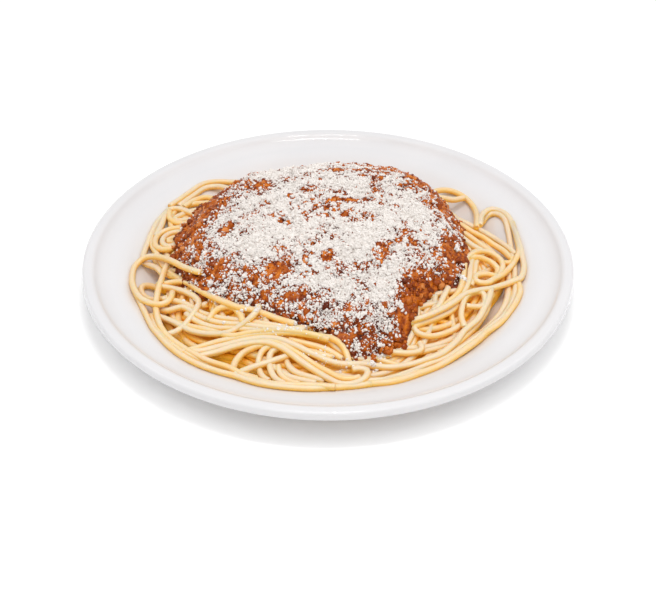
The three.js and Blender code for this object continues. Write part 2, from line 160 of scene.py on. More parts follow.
class Finish:
    """A material whose nodes are added by one method."""

    def __init__(self, name):
        self.material = bpy.data.materials.new(name)
        self.material.use_nodes = True
        self.tree = self.material.node_tree
        self.shader = self.tree.nodes["Principled BSDF"]

    def connect(self, socket, value):
        """Links a varying value to a socket, or sets a constant on it."""
        if isinstance(value, Value):
            self.tree.links.new(value.socket, socket)
        else:
            socket.default_value = value

    def node(self, kind, settings, sockets, output=0):
        """Adds a node, sets its settings first, then its sockets, and returns one of its outputs."""
        node = self.tree.nodes.new(kind)
        for name, setting in settings.items():
            if name == "stops":
                while len(node.color_ramp.elements) < len(setting):
                    node.color_ramp.elements.new(0.5)
                for element, (place, colour) in zip(node.color_ramp.elements, setting):
                    element.position = place
                    element.color = (*colour, 1)
            else:
                setattr(node, name, setting)
        for name, value in sockets.items():
            self.connect(node.inputs[name], value)
        return Value(self, node.outputs[output])

    def set(self, **sockets):
        """Sets the shader's own sockets, given with low lines for spaces."""
        for name, value in sockets.items():
            self.connect(self.shader.inputs[name.replace("_", " ")], value)

    def noise(self, size_mm, detail=2.0, roughness=0.5):
        """Smooth noise from 0 to 1 whose patches are about size_mm across."""
        place = self.node("ShaderNodeTexCoord", {}, {}, "Object")
        sockets = {"Vector": place, "Scale": 1 / (size_mm * MM), "Detail": detail, "Roughness": roughness}
        return self.node("ShaderNodeTexNoise", {}, sockets)

    def attribute(self, name):
        """A number stored on the mesh under this name."""
        return self.node("ShaderNodeAttribute", {"attribute_name": name}, {}, "Fac")

    def ramp(self, value, stops):
        """Turns a number into a colour by stops of place and colour."""
        return self.node("ShaderNodeValToRGB", {"stops": stops}, {0: value})

    def steep(self, value, low, high):
        """0 below low, 1 above high, and a smooth step between."""
        sockets = {"Value": value, "From Min": low, "From Max": high}
        return self.node("ShaderNodeMapRange", {"interpolation_type": "SMOOTHSTEP"}, sockets)

    def blend(self, share, first, second):
        """Mixes two colours: the first where share is 0 and the second where it is 1."""
        settings = {"data_type": "RGBA"}
        return self.node("ShaderNodeMix", settings, {"Factor": share, 6: first, 7: second}, 2)

    def dust(self):
        """How far dust of cheese hides what is below it: where the cover is thick, but for pin holes of
        fine noise."""
        return self.steep(self.attribute("cover") + 1.3 * (self.noise(1.0, 2) - 0.5), 0.78, 1.02)

    def bump(self, height, depth_mm):
        """Tilts the light's reflection as if the surface rose by depth_mm where height is 1."""
        return self.node("ShaderNodeBump", {}, {"Height": height, "Distance": depth_mm * MM})


# %% [markdown]
# ## The camera
#
# The camera was fitted to the plate's round rim, which the photograph shows as an ellipse. The width of
# that ellipse gives the distance, and its flatness gives the angle from above.

# %% Place the camera
CAMERA_PLACE = np.array([0, -654.9, 479.5])
LENS_MM, SENSOR_MM = 82.46, 36
DEGREES_DOWN = 36.66
camera_data = bpy.data.cameras.new("photo_camera")
camera_data.lens = LENS_MM
camera_data.sensor_width = SENSOR_MM
camera_data.clip_start = 0.05
camera = bpy.data.objects.new("photo_camera", camera_data)
camera.location = CAMERA_PLACE * MM
camera.rotation_euler = (math.radians(90 - DEGREES_DOWN), 0, 0)
bpy.context.scene.collection.objects.link(camera)
bpy.context.scene.camera = camera
elevation = math.degrees(math.atan2(CAMERA_PLACE[2], -CAMERA_PLACE[1]))
print("camera", round(elevation, 1), "degrees above the table")

# %% [markdown]
# ## The plate
#
# The real plate was pressed in a mould, dipped in glaze and fired, so it has no sharp edge anywhere. It is
# a turned shape: one profile, carried round the middle. The corners of the profile are rounded with curves
# of three points, which is how a plate maker draws them. A lathe in numpy gives exact rings and closed
# middles, which a Screw modifier would leave open.

# %% Sizes of the plate, as in the CAD model but for softer bends between lip and bead
AROUND = 192
WELL_FLOOR = 4.6
TOP_CORNERS = [(0, WELL_FLOOR, 0), (88, WELL_FLOOR, 8), (109, 16.6, 5.4), (117.2, 16.9, 2.4), (121.8, 18.5, 1.9),
               (124.4, 21.2, 1.7), (129.6, 21.2, 1.8), (130, 17.0, 1)]
UNDER_CORNERS = [(129.2, 16.2, 0.6), (126.2, 16.2, 1), (123.8, 14.4, 1), (110.5, 12.9, 5), (93, 3, 4), (89, 2, 1),
                 (88, 0, 0.6), (79, 0, 0.5), (77.5, 1.2, 0.6), (0, 1.2, 0)]


def rounded_profile(corners, pieces=8):
    """A profile of radius and height with each corner cut back by its own amount. The round is the curve
    (1 - t)(1 - t) start + 2 t (1 - t) corner + t t end, for t from 0 to 1."""
    corners = np.array(corners, float)
    place, cut = corners[:, :2], corners[:, 2]
    t = np.linspace(0, 1, pieces + 1)[:, None]
    points = [place[:1]]
    for before, corner, after, back in zip(place, place[1:], place[2:], cut[1:]):
        start = corner + (before - corner) * back / np.linalg.norm(before - corner)
        end = corner + (after - corner) * back / np.linalg.norm(after - corner)
        points.append((1 - t) ** 2 * start + 2 * t * (1 - t) * corner + t**2 * end)
    points.append(place[-1:])
    return np.concatenate(points)


def turned(profile, around=AROUND):
    """A profile from the top middle to the bottom middle, turned round the upright axis: the point at angle
    a is (radius cos a, radius sin a, height)."""
    angle = angles_round(around)
    radius, height = profile[1:-1, 0][:, None], profile[1:-1, 1][:, None]
    rings = np.stack([*from_middle(radius, angle), height + 0 * angle], axis=-1)
    ends = np.array([[0, 0, profile[0, 1]], [0, 0, profile[-1, 1]]])
    return np.concatenate([rings.reshape(-1, 3), ends]), ring_faces(len(rings), around)


profile = rounded_profile(TOP_CORNERS + UNDER_CORNERS)
flat = np.linspace(2, 78, 20)
profile = np.concatenate([[[0, WELL_FLOOR]], np.stack([flat, 0 * flat + WELL_FLOOR], axis=-1), profile[1:]])
print("plate profile:", len(profile), "points, widest", profile[:, 0].max(), "mm")

# %% [markdown]
# The glaze is a thin layer of glass over a white body. It is smooth but never quite flat, so its
# reflections bend a little. Only the foot ring is bare, because it stood on the kiln shelf. In front of the
# food the well's white is painted a little warmer and darker, as a painted reflection of the food's glow and painted
# shade.

# %% White glaze
glaze = Finish("white_glaze")
on_plate = glaze.node("ShaderNodeTexCoord", {}, {}, "Object")
along_y, upward = (glaze.node("ShaderNodeSeparateXYZ", {}, {0: on_plate}, part) for part in (1, 2))
from_origin = glaze.node("ShaderNodeVectorMath", {"operation": "LENGTH"}, {0: on_plate}, 1)
bare_foot = 1 - glaze.steep(upward, 0.0003, 0.0009)
in_front = 1 - glaze.steep(along_y, -0.105, -0.065)
within = 1 - glaze.steep(from_origin, 0.114, 0.126)
glaze_tone = glaze.steep(glaze.noise(45, 2), 0.3, 0.7)
glaze_white = glaze.blend(glaze_tone, (0.69, 0.682, 0.692, 1), (0.71, 0.70, 0.708, 1))
# Painted reflection and painted shade: the well's white is warmer and darker in front of the food.
painted_warm_white = glaze.blend(in_front * within, glaze_white, (0.672, 0.645, 0.635, 1))
speckle = glaze.steep(glaze.noise(0.8, 2), 0.35, 0.75)
bare_clay = glaze.blend(speckle, (0.52, 0.49, 0.45, 1), (0.66, 0.63, 0.58, 1))
glaze.set(
    Base_Color=glaze.blend(bare_foot, painted_warm_white, bare_clay),
    Roughness=0.03 + 0.02 * glaze.steep(glaze.noise(18, 3), 0.3, 0.7) + 0.5 * bare_foot,
    IOR=1.5,
    Specular_IOR_Level=0.35,
    Normal=glaze.bump(glaze.noise(30, 1), 0.25),
)
add_piece("glazed_plate", *turned(profile), glaze, "plate", ["plate"])

# %% [markdown]
# ## What each strand lies on
#
# Cooked spaghetti is limp: a strand rests on whatever is below it and bridges small gaps. A physics
# simulation of a hundred strands would take far too long, so the heap is kept as a map of heights. A strand
# reads from the map how high it must lie, hangs loosely over the high places, and is then stamped into
# the map for the next one.

# %% Heights of the plate and of the bed of pasta
SAUCE_EDGE = np.array([
    (73, 0), (71, 26), (62, 50), (48, 66), (22, 78), (-8, 78), (-42, 73), (-66, 58), (-78, 34), (-83, 8),
    (-80, -14), (-71, -31), (-60, -44), (-49, -50), (-34, -57), (-14, -67), (1, -74), (11, -82), (18, -83),
    (25, -80), (34, -77), (39.5, -71.5), (41.5, -64), (45, -58),
    (47, -52), (51.5, -45), (57, -38.5), (65.5, -32), (70, -22), (72.5, -12)])


def smooth_step(t):
    """0 below 0, 1 above 1, and 3 t t - 2 t t t between."""
    t = np.clip(t, 0, 1)
    return t * t * (3 - 2 * t)


def plate_height(x, y):
    """Height of the plate's upper side, read off its profile."""
    top = profile[: int(np.argmax(profile[:, 0]))]
    return np.interp(np.hypot(x, y), top[:, 0], top[:, 1])


def bed_height(x, y):
    """Height of the bed of pasta: a low ring that falls to the plate, and a dome under the sauce."""
    radius = np.hypot(x, y)
    ring = 11.5 + 8 * (1 - smooth_step((radius - 70) / 31))
    return ring + 21 * np.maximum(0, 1 - (radius / 80) ** 2.6)


def reach_of(edge, angle):
    """How far an outline reaches from the middle at an angle, straight between its corners' angles."""
    return np.interp(angle, np.arctan2(edge[:, 1], edge[:, 0]), np.hypot(edge[:, 0], edge[:, 1]), period=2 * np.pi)


def sauce_share(x, y, edge=SAUCE_EDGE):
    """0 in the middle of the sauce and 1 at its edge."""
    return np.hypot(x, y) / reach_of(edge, np.arctan2(y, x))


# %% The map of heights
MAP_HALF, MAP_CELL = 120, 0.5


class HeightMap:
    """Heights in mm on a square grid, in which balls of a given radius can rest."""

    def __init__(self, surface):
        self.line = np.arange(-MAP_HALF, MAP_HALF + MAP_CELL, MAP_CELL)
        x, y = np.meshgrid(self.line, self.line, indexing="ij")
        self.z = surface(x, y)

    def cells(self, x, y):
        """Nearest grid place of each point."""
        last = len(self.line) - 1
        column = np.clip(np.rint((x + MAP_HALF) / MAP_CELL).astype(int), 0, last)
        row = np.clip(np.rint((y + MAP_HALF) / MAP_CELL).astype(int), 0, last)
        return column, row

    def at(self, x, y):
        """Height at each point, straight between the four grid places round it."""
        u = np.clip((x + MAP_HALF) / MAP_CELL, 0, len(self.line) - 1.001)
        v = np.clip((y + MAP_HALF) / MAP_CELL, 0, len(self.line) - 1.001)
        i, j = u.astype(int), v.astype(int)
        u, v = u - i, v - j
        low = self.z[i, j] * (1 - u) + self.z[i + 1, j] * u
        high = self.z[i, j + 1] * (1 - u) + self.z[i + 1, j + 1] * u
        return low * (1 - v) + high * v

    def cap(self, radius):
        """Grid steps inside a circle, and the height of a ball's surface over each."""
        steps = np.arange(-math.ceil(radius / MAP_CELL), math.ceil(radius / MAP_CELL) + 1) * MAP_CELL
        dx, dy = (part.ravel() for part in np.meshgrid(steps, steps))
        inside = np.hypot(dx, dy) < radius
        dx, dy = dx[inside], dy[inside]
        return dx, dy, np.sqrt(radius**2 - dx**2 - dy**2)

    def rest(self, x, y, radius):
        """Height at which the middle of a ball rests over each point: the most that the map plus the ball's
        own curve comes to under it."""
        dx, dy, rise = self.cap(radius)
        column, row = self.cells(x[:, None] + dx, y[:, None] + dy)
        return (self.z[column, row] + rise).max(axis=1)

    def stamp(self, x, y, z, radius, sink=0.0):
        """Raises the map to the upper side of balls with these middles."""
        radius = np.broadcast_to(radius, x.shape)
        dx, dy, _ = self.cap(float(radius.max()))
        column, row = self.cells(x[:, None] + dx, y[:, None] + dy)
        away = (self.line[column] - x[:, None]) ** 2 + (self.line[row] - y[:, None]) ** 2
        over = radius[:, None] ** 2 - away
        top = np.where(over > 0, z[:, None] + np.sqrt(np.maximum(over, 0)) - sink, -1e3)
        np.maximum.at(self.z, (column.ravel(), row.ravel()), top.ravel())


# %% The smooth heap inside the strands
HEAP_EDGE = np.array([
    (97, 0), (89, 14), (80, 30), (74, 40), (62, 58), (34, 82), (0, 88), (-34, 84), (-60, 68), (-80, 52), (-91, 30),
    (-90, 10), (-83, -4), (-81, -18), (-88, -34), (-84, -52), (-70, -68), (-54, -76), (-42, -79), (-28, -94),
    (0, -102), (34, -95), (58, -80), (72, -62), (79, -46), (82, -36), (92, -20)])
OPENINGS = [(-93, -12, 9), (75, 57, 8), (91, 30, 8), (-43, -87, 6), (87, -41, 5)]
CORE_SINK = 6.0
CORE_FOOT = 4.0


def core_height(x, y):
    """The bed lowered, running out on the plate at the heap's edge and round the places where the plate
    shows."""
    low = bed_height(x, y) - CORE_SINK
    fall = smooth_step((sauce_share(x, y, HEAP_EDGE) - 0.88) / 0.08)
    for at_x, at_y, wide in OPENINGS:
        fall = np.maximum(fall, 1 - smooth_step((np.hypot(x - at_x, y - at_y) - wide) / 5))
    return np.minimum(low * (1 - fall) + (plate_height(x, y) - 0.6) * fall, low)


heap = HeightMap(lambda x, y: np.maximum(plate_height(x, y), core_height(x, y)))
print("map of", heap.z.shape, "places, highest", round(float(heap.z.max()), 1), "mm")

# %% [markdown]
# ## Strands
#
# A strand is drawn from above as a few points, and a smooth curve goes through them. Its height comes from
# the map. It may bend down over an edge only gently, as limp pasta does. The tube round it has round ends,
# and is a touch thicker and thinner along its length, because pasta swells unevenly.

# %% A strand's path and its tube
STRAND_RADIUS = 1.66
STRAND_SIDES = 10
STEP = 2.4
PEAK_RADIUS = 14
SMOOTHINGS = 8
STRAND_SINK = 0.9
PRESSED_BY_SAUCE = 4.0


def smooth_route(points, step=STEP):
    """A smooth curve through points: between two of them it is the cubic whose slope at each point is half
    the way from the point before to the point after. It is then cut into equal steps."""
    points = np.array(points, float)
    padded = np.concatenate([2 * points[:1] - points[1:2], points, 2 * points[-1:] - points[-2:-1]])
    before, start, end, after = padded[:-3], padded[1:-2], padded[2:-1], padded[3:]
    t = np.linspace(0, 1, 24, endpoint=False)[:, None, None]
    curve = 0.5 * (2 * start + (end - before) * t + (2 * before - 5 * start + 4 * end - after) * t**2
                   + (3 * start - before - 3 * end + after) * t**3)
    curve = np.concatenate([curve.transpose(1, 0, 2).reshape(-1, 2), points[-1:]])
    along = np.concatenate([[0], np.cumsum(np.hypot(*np.diff(curve, axis=0).T))])
    places = np.linspace(0, along[-1], max(4, int(round(along[-1] / step)) + 1))
    return np.stack([np.interp(places, along, curve[:, k]) for k in (0, 1)], axis=-1)


def drape(contact, ceiling, step=STEP):
    """Heights of a limp strand that has to clear the contact heights. It bends over each of them no more
    sharply than a circle of PEAK_RADIUS, so it is the highest of many parabolas, contact - d d / 2 R. Its
    own weight and the strands beside it hold it down to the ceiling. A few light smoothings then round
    the dips."""
    place = np.arange(len(contact)) * step
    level = (contact[None] - (place[:, None] - place[None]) ** 2 / (2 * PEAK_RADIUS)).max(axis=1)
    level = np.minimum(level, ceiling)
    for _ in range(SMOOTHINGS):
        level[1:-1] = (level[:-2] + 2 * level[1:-1] + level[2:]) / 4
    return level


def ceiling_over(route, lift, under_sauce=True):
    """The most that a strand's middle may reach: a lift over the bed or over the plate. The weight of the
    sauce presses down what lies under it."""
    x, y = route.T
    pressed = smooth_step((1.02 - sauce_share(x, y)) / 0.1) * under_sauce
    free = bed_height(x, y) + lift * (1 - pressed) - PRESSED_BY_SAUCE * pressed
    return np.maximum(free, plate_height(x, y) + STRAND_RADIUS)


def lay(route, lift, under_sauce=True, chunk=7):
    """The path of a strand that is laid on the heap along a route, and stamped into the map. It is laid
    a few steps at a time, so that it also lies over its own earlier part where it loops."""
    ceiling = ceiling_over(route, lift, under_sauce)
    contact = np.zeros(len(route))
    for start in range(0, len(route), chunk):
        part = slice(start, start + chunk)
        contact[part] = heap.rest(*route[part].T, STRAND_RADIUS)
        before = slice(max(0, start - chunk), start)
        if start:
            held = np.minimum(contact[before], ceiling[before])
            heap.stamp(*route[before].T, held, STRAND_RADIUS, STRAND_SINK)
    path = np.column_stack([route, drape(contact, ceiling)])
    fine = np.linspace(0, len(path) - 1, 4 * len(path))
    dense = np.stack([np.interp(fine, np.arange(len(path)), path[:, k]) for k in range(3)], axis=-1)
    heap.stamp(*dense.T, STRAND_RADIUS, STRAND_SINK)
    return path


def tube(path, radius, sides=STRAND_SIDES):
    """Rings of points round a path, with round ends. A ring's point at angle a is the path's point plus
    radius (cos a side + sin a up), where side is across the path and up is square to both."""
    along = np.gradient(path, axis=0)
    along /= np.linalg.norm(along, axis=1, keepdims=True)
    bend = np.array([0.35, 0.75, 1.0])[:, None]
    reach = np.sqrt(1 - bend**2) - 1
    first, last = path[0] - reach * -along[0] * radius[0], path[-1] - reach * along[-1] * radius[-1]
    path = np.concatenate([first[:-1], path, last[-2::-1]])
    along = np.concatenate([np.repeat(along[:1], 2, axis=0), along, np.repeat(along[-1:], 2, axis=0)])
    radius = np.concatenate([radius[0] * bend[:-1, 0], radius, radius[-1] * bend[-2::-1, 0]])
    side = np.cross(along, [0, 0, 1])
    side /= np.linalg.norm(side, axis=1, keepdims=True)
    up = np.cross(side, along)
    angle = angles_round(sides)
    ring = np.cos(angle)[None, :, None] * side[:, None] + np.sin(angle)[None, :, None] * up[:, None]
    rings = path[:, None] + radius[:, None, None] * ring
    ends = np.stack([path[0] - along[0] * radius[0] * 0.2, path[-1] + along[-1] * radius[-1] * 0.2])
    return np.concatenate([rings.reshape(-1, 3), ends]), ring_faces(len(path), sides)


# %% [markdown]
# ## The strands that fill the heap
#
# Between the strands that can be told apart, the heap is full of others. Each comes out from under the
# sauce, runs round the heap beside its neighbours and goes back under the sauce, so few ends show. Of
# several tries the one over the lowest hollow is laid, until the heap is as high as the bed, which is how
# a heap of pasta settles too. Where the plate shows between the strands, they are pushed aside.

# %% Arcs that fill the hollows
BURIED_SHARE = 0.78
STARTS_AT_SHARE = 0.86
TRIES = 40
LEAST_FIT = 0.3
rng = np.random.default_rng(17)


def eased(points, rounds):
    """A route with its corners eased: each point moves to the mean of itself and its neighbours."""
    for _ in range(rounds):
        points[1:-1] = (points[:-2] + 2 * points[1:-1] + points[2:]) / 4
    return points


def arc_route(rng):
    """A strand that leaves the sauce at one angle and goes back under it at another. Its distance from the
    middle swells between them as sin(pi u), with a slow wave on it, and is held inside the heap's edge."""
    turn = rng.uniform(0.9, 2.4)
    u = np.linspace(0, 1, 90)
    angle = rng.uniform(-np.pi, np.pi) + turn * (u + 0.12 * np.sin(2 * np.pi * u) * rng.uniform(-1, 1))
    angle = half_turns(angle)
    inner, outer = STARTS_AT_SHARE * reach_of(SAUCE_EDGE, angle), reach_of(HEAP_EDGE, angle)
    swell = np.sin(np.pi * u) ** rng.uniform(0.5, 1.2) * rng.uniform(0.15, 1.25)
    wave = rng.uniform(0, 1.6) * np.sin(2 * np.pi * (u * turn * rng.uniform(0.8, 1.8) + rng.random()))
    radius = inner + swell * (outer - inner) + wave
    radius = np.minimum(radius, outer - STRAND_RADIUS - 0.5 * rng.random())
    route = np.stack(from_middle(radius, angle), axis=-1)
    for x, y, wide in OPENINGS:
        away = route - (x, y)
        distance = np.hypot(*away.T)[:, None]
        route = route + np.maximum(0, wide - distance) * away / np.maximum(distance, 0.1)
    return smooth_route(eased(route, 10)[::6])


def fit(route, lift):
    """How well a strand would fill the heap, in mm: the mean depth of the hollows under it where it shows,
    less the mean height of what would stand in its way."""
    x, y = route[sauce_share(*route.T) > 0.95].T
    if len(x) < 9:
        return -9.0
    ceiling = ceiling_over(np.stack([x, y], axis=-1), lift)
    depth = np.clip(ceiling + STRAND_RADIUS - 0.6 - heap.at(x, y), 0, 3)
    blocked = np.clip(heap.rest(x, y, STRAND_RADIUS) - ceiling - 0.6, 0, 3)
    return float(np.mean(depth) - 1.6 * np.mean(blocked))


fillers = []
for lift, most in ((-5.0, 54), (-2.9, 48), (-0.9, 36)):
    for _ in range(most):
        tries = [arc_route(rng) for _ in range(TRIES)]
        scores = [fit(route, lift) for route in tries]
        if max(scores) > LEAST_FIT:
            fillers.append(lay(tries[int(np.argmax(scores))], lift))
    print(len(fillers), "strands lie up to", lift, "mm over the bed; the last fits by", round(max(scores), 2))

# %% [markdown]
# ## The strands that can be told apart
#
# These routes were followed on the photograph, strand by strand, and are given where they cross a
# level sheet 20 mm above the table. How high a strand really lies is only known once it is laid, so a
# point is slid along its line of sight to that height and laid again. It then shows at the same spot. The
# lowest strand comes first. They loop, cross and run side by side as the real ones do.

# %% Routes on the left
LEFT = [
    [(-66, 50), (-75, 49), (-81, 45), (-85, 40), (-86.5, 34), (-86, 28), (-84, 24), (-76, 23), (-68, 22)],
    [(-64, 44), (-75, 42), (-80, 38.5), (-83, 36), (-84.5, 33.5), (-82, 31.5), (-76, 33), (-66, 32)],
    [(-70, 9), (-80, 7), (-86, 5), (-90, 6.5), (-92, 0), (-91, -6), (-88, -12), (-85, -17), (-80, -21), (-72, -20)],
    [(-72, 3), (-80, 2), (-83, -3), (-85.5, -9), (-84, -15), (-80, -20), (-74, -24), (-66, -24)],
    [(-89, 41), (-92, 33), (-94, 25), (-95, 15), (-94, 7), (-91, 0), (-88, -8), (-84, -14), (-76, -16), (-68, -14)],
    [(-89, 42), (-91, 37), (-93.6, 30), (-95.7, 20), (-97, 10), (-98, 1.5), (-98, -5), (-96.5, -9), (-93, -12.7),
     (-89.6, -16.6), (-87, -22), (-85.5, -25.5)],
    [(-30, 58), (-40, 67), (-48, 71), (-57, 72), (-65, 72), (-72, 69), (-78, 61), (-85, 51), (-88, 47)],
    [(-42, 50), (-50, 60), (-57, 65), (-63, 67), (-70, 65), (-76, 57), (-83, 47)],
    [(-52, 42), (-60, 50), (-67, 55.5), (-74, 53), (-80, 46)],
    [(-70, 18), (-78.5, 17), (-82.5, 15.8), (-85.3, 14), (-86.3, 12), (-84.4, 10.8), (-80.8, 12.5), (-72, 15)],
    [(-68, 22), (-76, 22), (-79.2, 21.2), (-83.5, 20.6), (-86.7, 18.4), (-88.8, 14.6), (-88.9, 10.5),
     (-87, 7.3), (-83.8, 7.5),
     (-79.5, 10.5), (-71, 13)],
    [(-68, 26), (-76, 25.5), (-79, 25), (-83.8, 24.3), (-88, 22.2), (-91.5, 18.5), (-93, 13.5), (-92.7, 8.7),
     (-90.8, 5.2),
     (-87.5, 4), (-83.5, 5.2), (-79.4, 8), (-71, 11)],
    [(-64, 34), (-72, 37), (-76, 40), (-83, 44), (-88, 43), (-90, 37), (-91, 27), (-93, 17)],
    [(-88, 42), (-87, 34), (-83, 30), (-76, 29), (-66, 29)],
    [(-85, -22.7), (-89, -22.7), (-92.8, -23.8), (-95.5, -26.4), (-96.5, -30.4), (-95.5, -35.3), (-93, -39),
     (-90, -40.6), (-86, -40.5), (-82, -39)],
    [(-84, -40), (-79.7, -41), (-75, -42.7), (-70.4, -45.7), (-65, -50.6), (-59.7, -53.7), (-54, -55.8), (-48, -57),
     (-40, -59), (-31, -61), (-22, -63), (-12, -64)],
    [(-87, -49), (-84, -50), (-80, -50.8), (-76.4, -49.3), (-73.3, -48.5), (-69.6, -51), (-65.3, -54.7),
     (-60, -57.5),
     (-54.3, -59.7), (-48, -60.6), (-40, -61.5), (-31, -63.5), (-22, -64.5), (-12, -65)],
    [(-71, -57), (-65.5, -60.4), (-59.7, -62.7), (-54, -64.2), (-48, -64.2), (-40, -65), (-31, -66),
     (-22, -66.5), (-12, -66)],
    [(-60, -58), (-59, -55), (-57.5, -51), (-54, -47.5), (-49, -47), (-45.5, -50.5), (-43.5, -55), (-42.5, -59)],
    [(-88, -27), (-85, -26.8), (-79.7, -25), (-75.8, -24.6), (-72, -26.4), (-69, -29.6), (-65, -33.3), (-60, -37.2),
     (-55, -41), (-50, -44), (-45, -47), (-38, -49), (-31, -52.5), (-24, -56.5), (-17, -60)],
    [(-84, -54.5), (-78.5, -58), (-73.5, -62), (-68.5, -66), (-63, -68.5), (-57, -70), (-52, -70.6),
     (-47.6, -71), (-43.5, -69.7), (-39.5, -68), (-35.5, -66.8), (-30.5, -66), (-25.6, -65.7),
     (-20.6, -66), (-15.6, -66.7), (-11.5, -67.8), (-7.3, -69.3), (-3.2, -71), (1, -71.6), (3.8, -73.7),
     (6.2, -76.8),
     (8, -80.7), (9.2, -85), (10, -89.4), (10, -92.5)],
    [(-34, -38), (-35, -43), (-35.5, -48), (-38, -54), (-42, -60), (-47.7, -66.5), (-52, -68.3), (-57, -68.8),
     (-63.4, -68), (-68.8, -65.8), (-73.5, -62.2), (-78.2, -58.6), (-83.5, -55.3), (-88, -53)],
    [(-88, -29), (-84, -28.8), (-79.3, -29.7), (-74, -31.5), (-69.6, -34.2), (-66.9, -37.4), (-66, -42),
     (-66.6, -47),
     (-68.2, -53), (-70.6, -59.4), (-73.3, -64.5), (-76.2, -67.7), (-80, -69.5)],
]
OVER_THE_SAUCE = [
    (-66.5, -18), (-68.7, -17.2), (-71.4, -15.5), (-77, -11.6), (-81, -8.2), (-85.3, -5.3), (-89.5, -3.6),
     (-93.5, -3),
    (-97.4, -4.4), (-100.3, -8.2), (-102, -13.3), (-102, -20), (-101.3, -26.6), (-99.3, -33), (-96.5, -38.5),
    (-93, -42), (-89, -44.3), (-85, -44.8), (-82, -42.7), (-80.3, -39), (-80, -34)]
ROUND_THE_LEFT = [
    (-76, 3), (-81, -0.7), (-83, -6.4), (-85, -11.6), (-86, -18), (-86.6, -24.4), (-87.4, -32), (-87.6, -39.6),
    (-87.4, -46), (-86.4, -52), (-85, -58.4), (-82.8, -64.5), (-79.6, -70.5), (-75, -76), (-70, -81), (-65, -85),
    (-60, -89), (-54.6, -92), (-50.5, -93.8), (-46.7, -96), (-43, -99), (-38.8, -102.3), (-34.8, -104.6),
    (-30.8, -106.4), (-26, -107.7), (-20.8, -108.4), (-14, -109), (-8.2, -109), (-2.3, -109.3), (3, -109.8)]

# %% Routes at the front
FRONT = [
    [(-98.8, -35), (-95.3, -43.8), (-92.3, -51.6), (-89.8, -58.4), (-87, -65), (-83, -71.5), (-78.7, -78),
     (-73.6, -84),
     (-68.3, -89), (-62.5, -93.4), (-57, -96.7), (-51.3, -99.5), (-44.4, -102.3), (-39.6, -104.8), (-34.7, -107),
     (-30, -108.6), (-25, -109.8), (-20, -110.7), (-14, -111.5), (-8, -111.8), (0, -111.2), (9.5, -110.2),
     (19, -108.4), (27.8, -105.5), (36, -102), (44, -97), (52, -91)],
    [(-89, -54), (-86.8, -61.5), (-84, -67.7), (-80.3, -74), (-74.8, -80), (-69.2, -85), (-63.4, -89.3),
     (-57.7, -93),
     (-51.6, -95.8), (-47.3, -97.2), (-42, -100), (-34, -104)],
    [(-19, -73), (-14.7, -74.8), (-10.6, -76.4), (-5.2, -78.7), (0, -81.7), (3.7, -85), (6.5, -88)],
    [(-12, -81.4), (-7, -83), (-3, -85), (2, -87)],
    [(-26.4, -94), (-24, -97.3), (-21, -100), (-17.8, -102.3), (-14, -104), (-10, -105.3), (-6, -106.7)],
    [(-20, -88), (-19.8, -90.7), (-18.8, -94), (-16.7, -97.3), (-14, -99.8), (-10.3, -101.8), (-6.3, -103.5),
     (-2, -105)],
    [(-24, -94), (-23.4, -98), (-22.2, -101), (-20.2, -103.8), (-17.4, -106), (-14, -107.3)],
    [(-22, -78), (-25, -80.7), (-27.2, -82.8), (-28.3, -86), (-28.4, -90.4), (-28, -94), (-27.3, -98),
     (-26, -101.7),
     (-24, -104.7), (-21, -107)],
    [(-26, -77), (-29, -78.8), (-31, -80.7), (-32.6, -83.6), (-33.5, -88), (-33.6, -92.3), (-33, -96.7),
     (-32, -100.4),
     (-30.5, -103.4), (-28.5, -105.2)],
    [(-30, -76), (-32.6, -77.4), (-35.4, -78.8), (-38, -80.7), (-41, -83.3), (-43, -86.5), (-44.5, -90),
     (-45.3, -93.5),
     (-45.7, -97), (-45.6, -100)],
    [(-45, -102), (-42.6, -99.5), (-40, -97.4), (-37, -95.3), (-33.6, -93.3), (-30, -91.6), (-26.5, -89.7),
     (-23.3, -88),
     (-20.5, -86.4), (-17, -84)],
    [(-73, -84.5), (-67, -81.5), (-62, -79), (-54, -75), (-45, -72), (-35, -69), (-20, -67.5), (-12, -68.5),
     (-5, -70.5), (0, -73)],
    [(-42, -77), (-34, -74.5), (-27, -74.8), (-22.8, -77), (-19.5, -79.7), (-16.2, -82.8), (-13, -85.7),
     (-9.6, -89.4),
     (-6.3, -93), (-3, -96), (0.5, -98.9), (3.5, -101.5), (6.4, -103.4), (9.6, -104), (12.4, -103.6), (15, -102.5)],
    [(-70, -83), (-62, -82.5), (-55.3, -79.7), (-50.5, -77.8), (-45.8, -75.6), (-41, -73.8), (-36, -72.5),
     (-31.2, -71.8),
     (-26.2, -72.3), (-21.7, -74), (-17.5, -76.8), (-13.8, -79.4), (-10.5, -82), (-6.4, -85), (-2, -88),
     (2.5, -90.7),
     (6.5, -92), (10.5, -92.4), (17.7, -92.4), (24, -94), (30.5, -94.8), (38.7, -93), (47, -89.4), (55.3, -84.5),
     (63, -75), (68, -66), (75, -57), (79, -48), (82, -40), (84, -32)],
    [(-64, -87), (-55, -83.6), (-51, -81.5), (-47.2, -79.4), (-43, -77.6), (-39.2, -76.3), (-35.2, -75.5),
     (-31, -75.6),
     (-27, -77), (-23.6, -79), (-20.2, -82), (-17.3, -85.2), (-14.4, -88.8), (-11.6, -91.8), (-8.7, -94.8),
     (-5.5, -98),
     (-2.3, -101.2), (1.5, -104.6), (4.8, -107), (8, -107.7), (11, -107.5), (14, -106.3), (16.4, -104.4),
     (18.2, -102),
     (19, -99.2), (18.6, -97), (17, -96), (14.3, -95.5), (12, -96)],
]

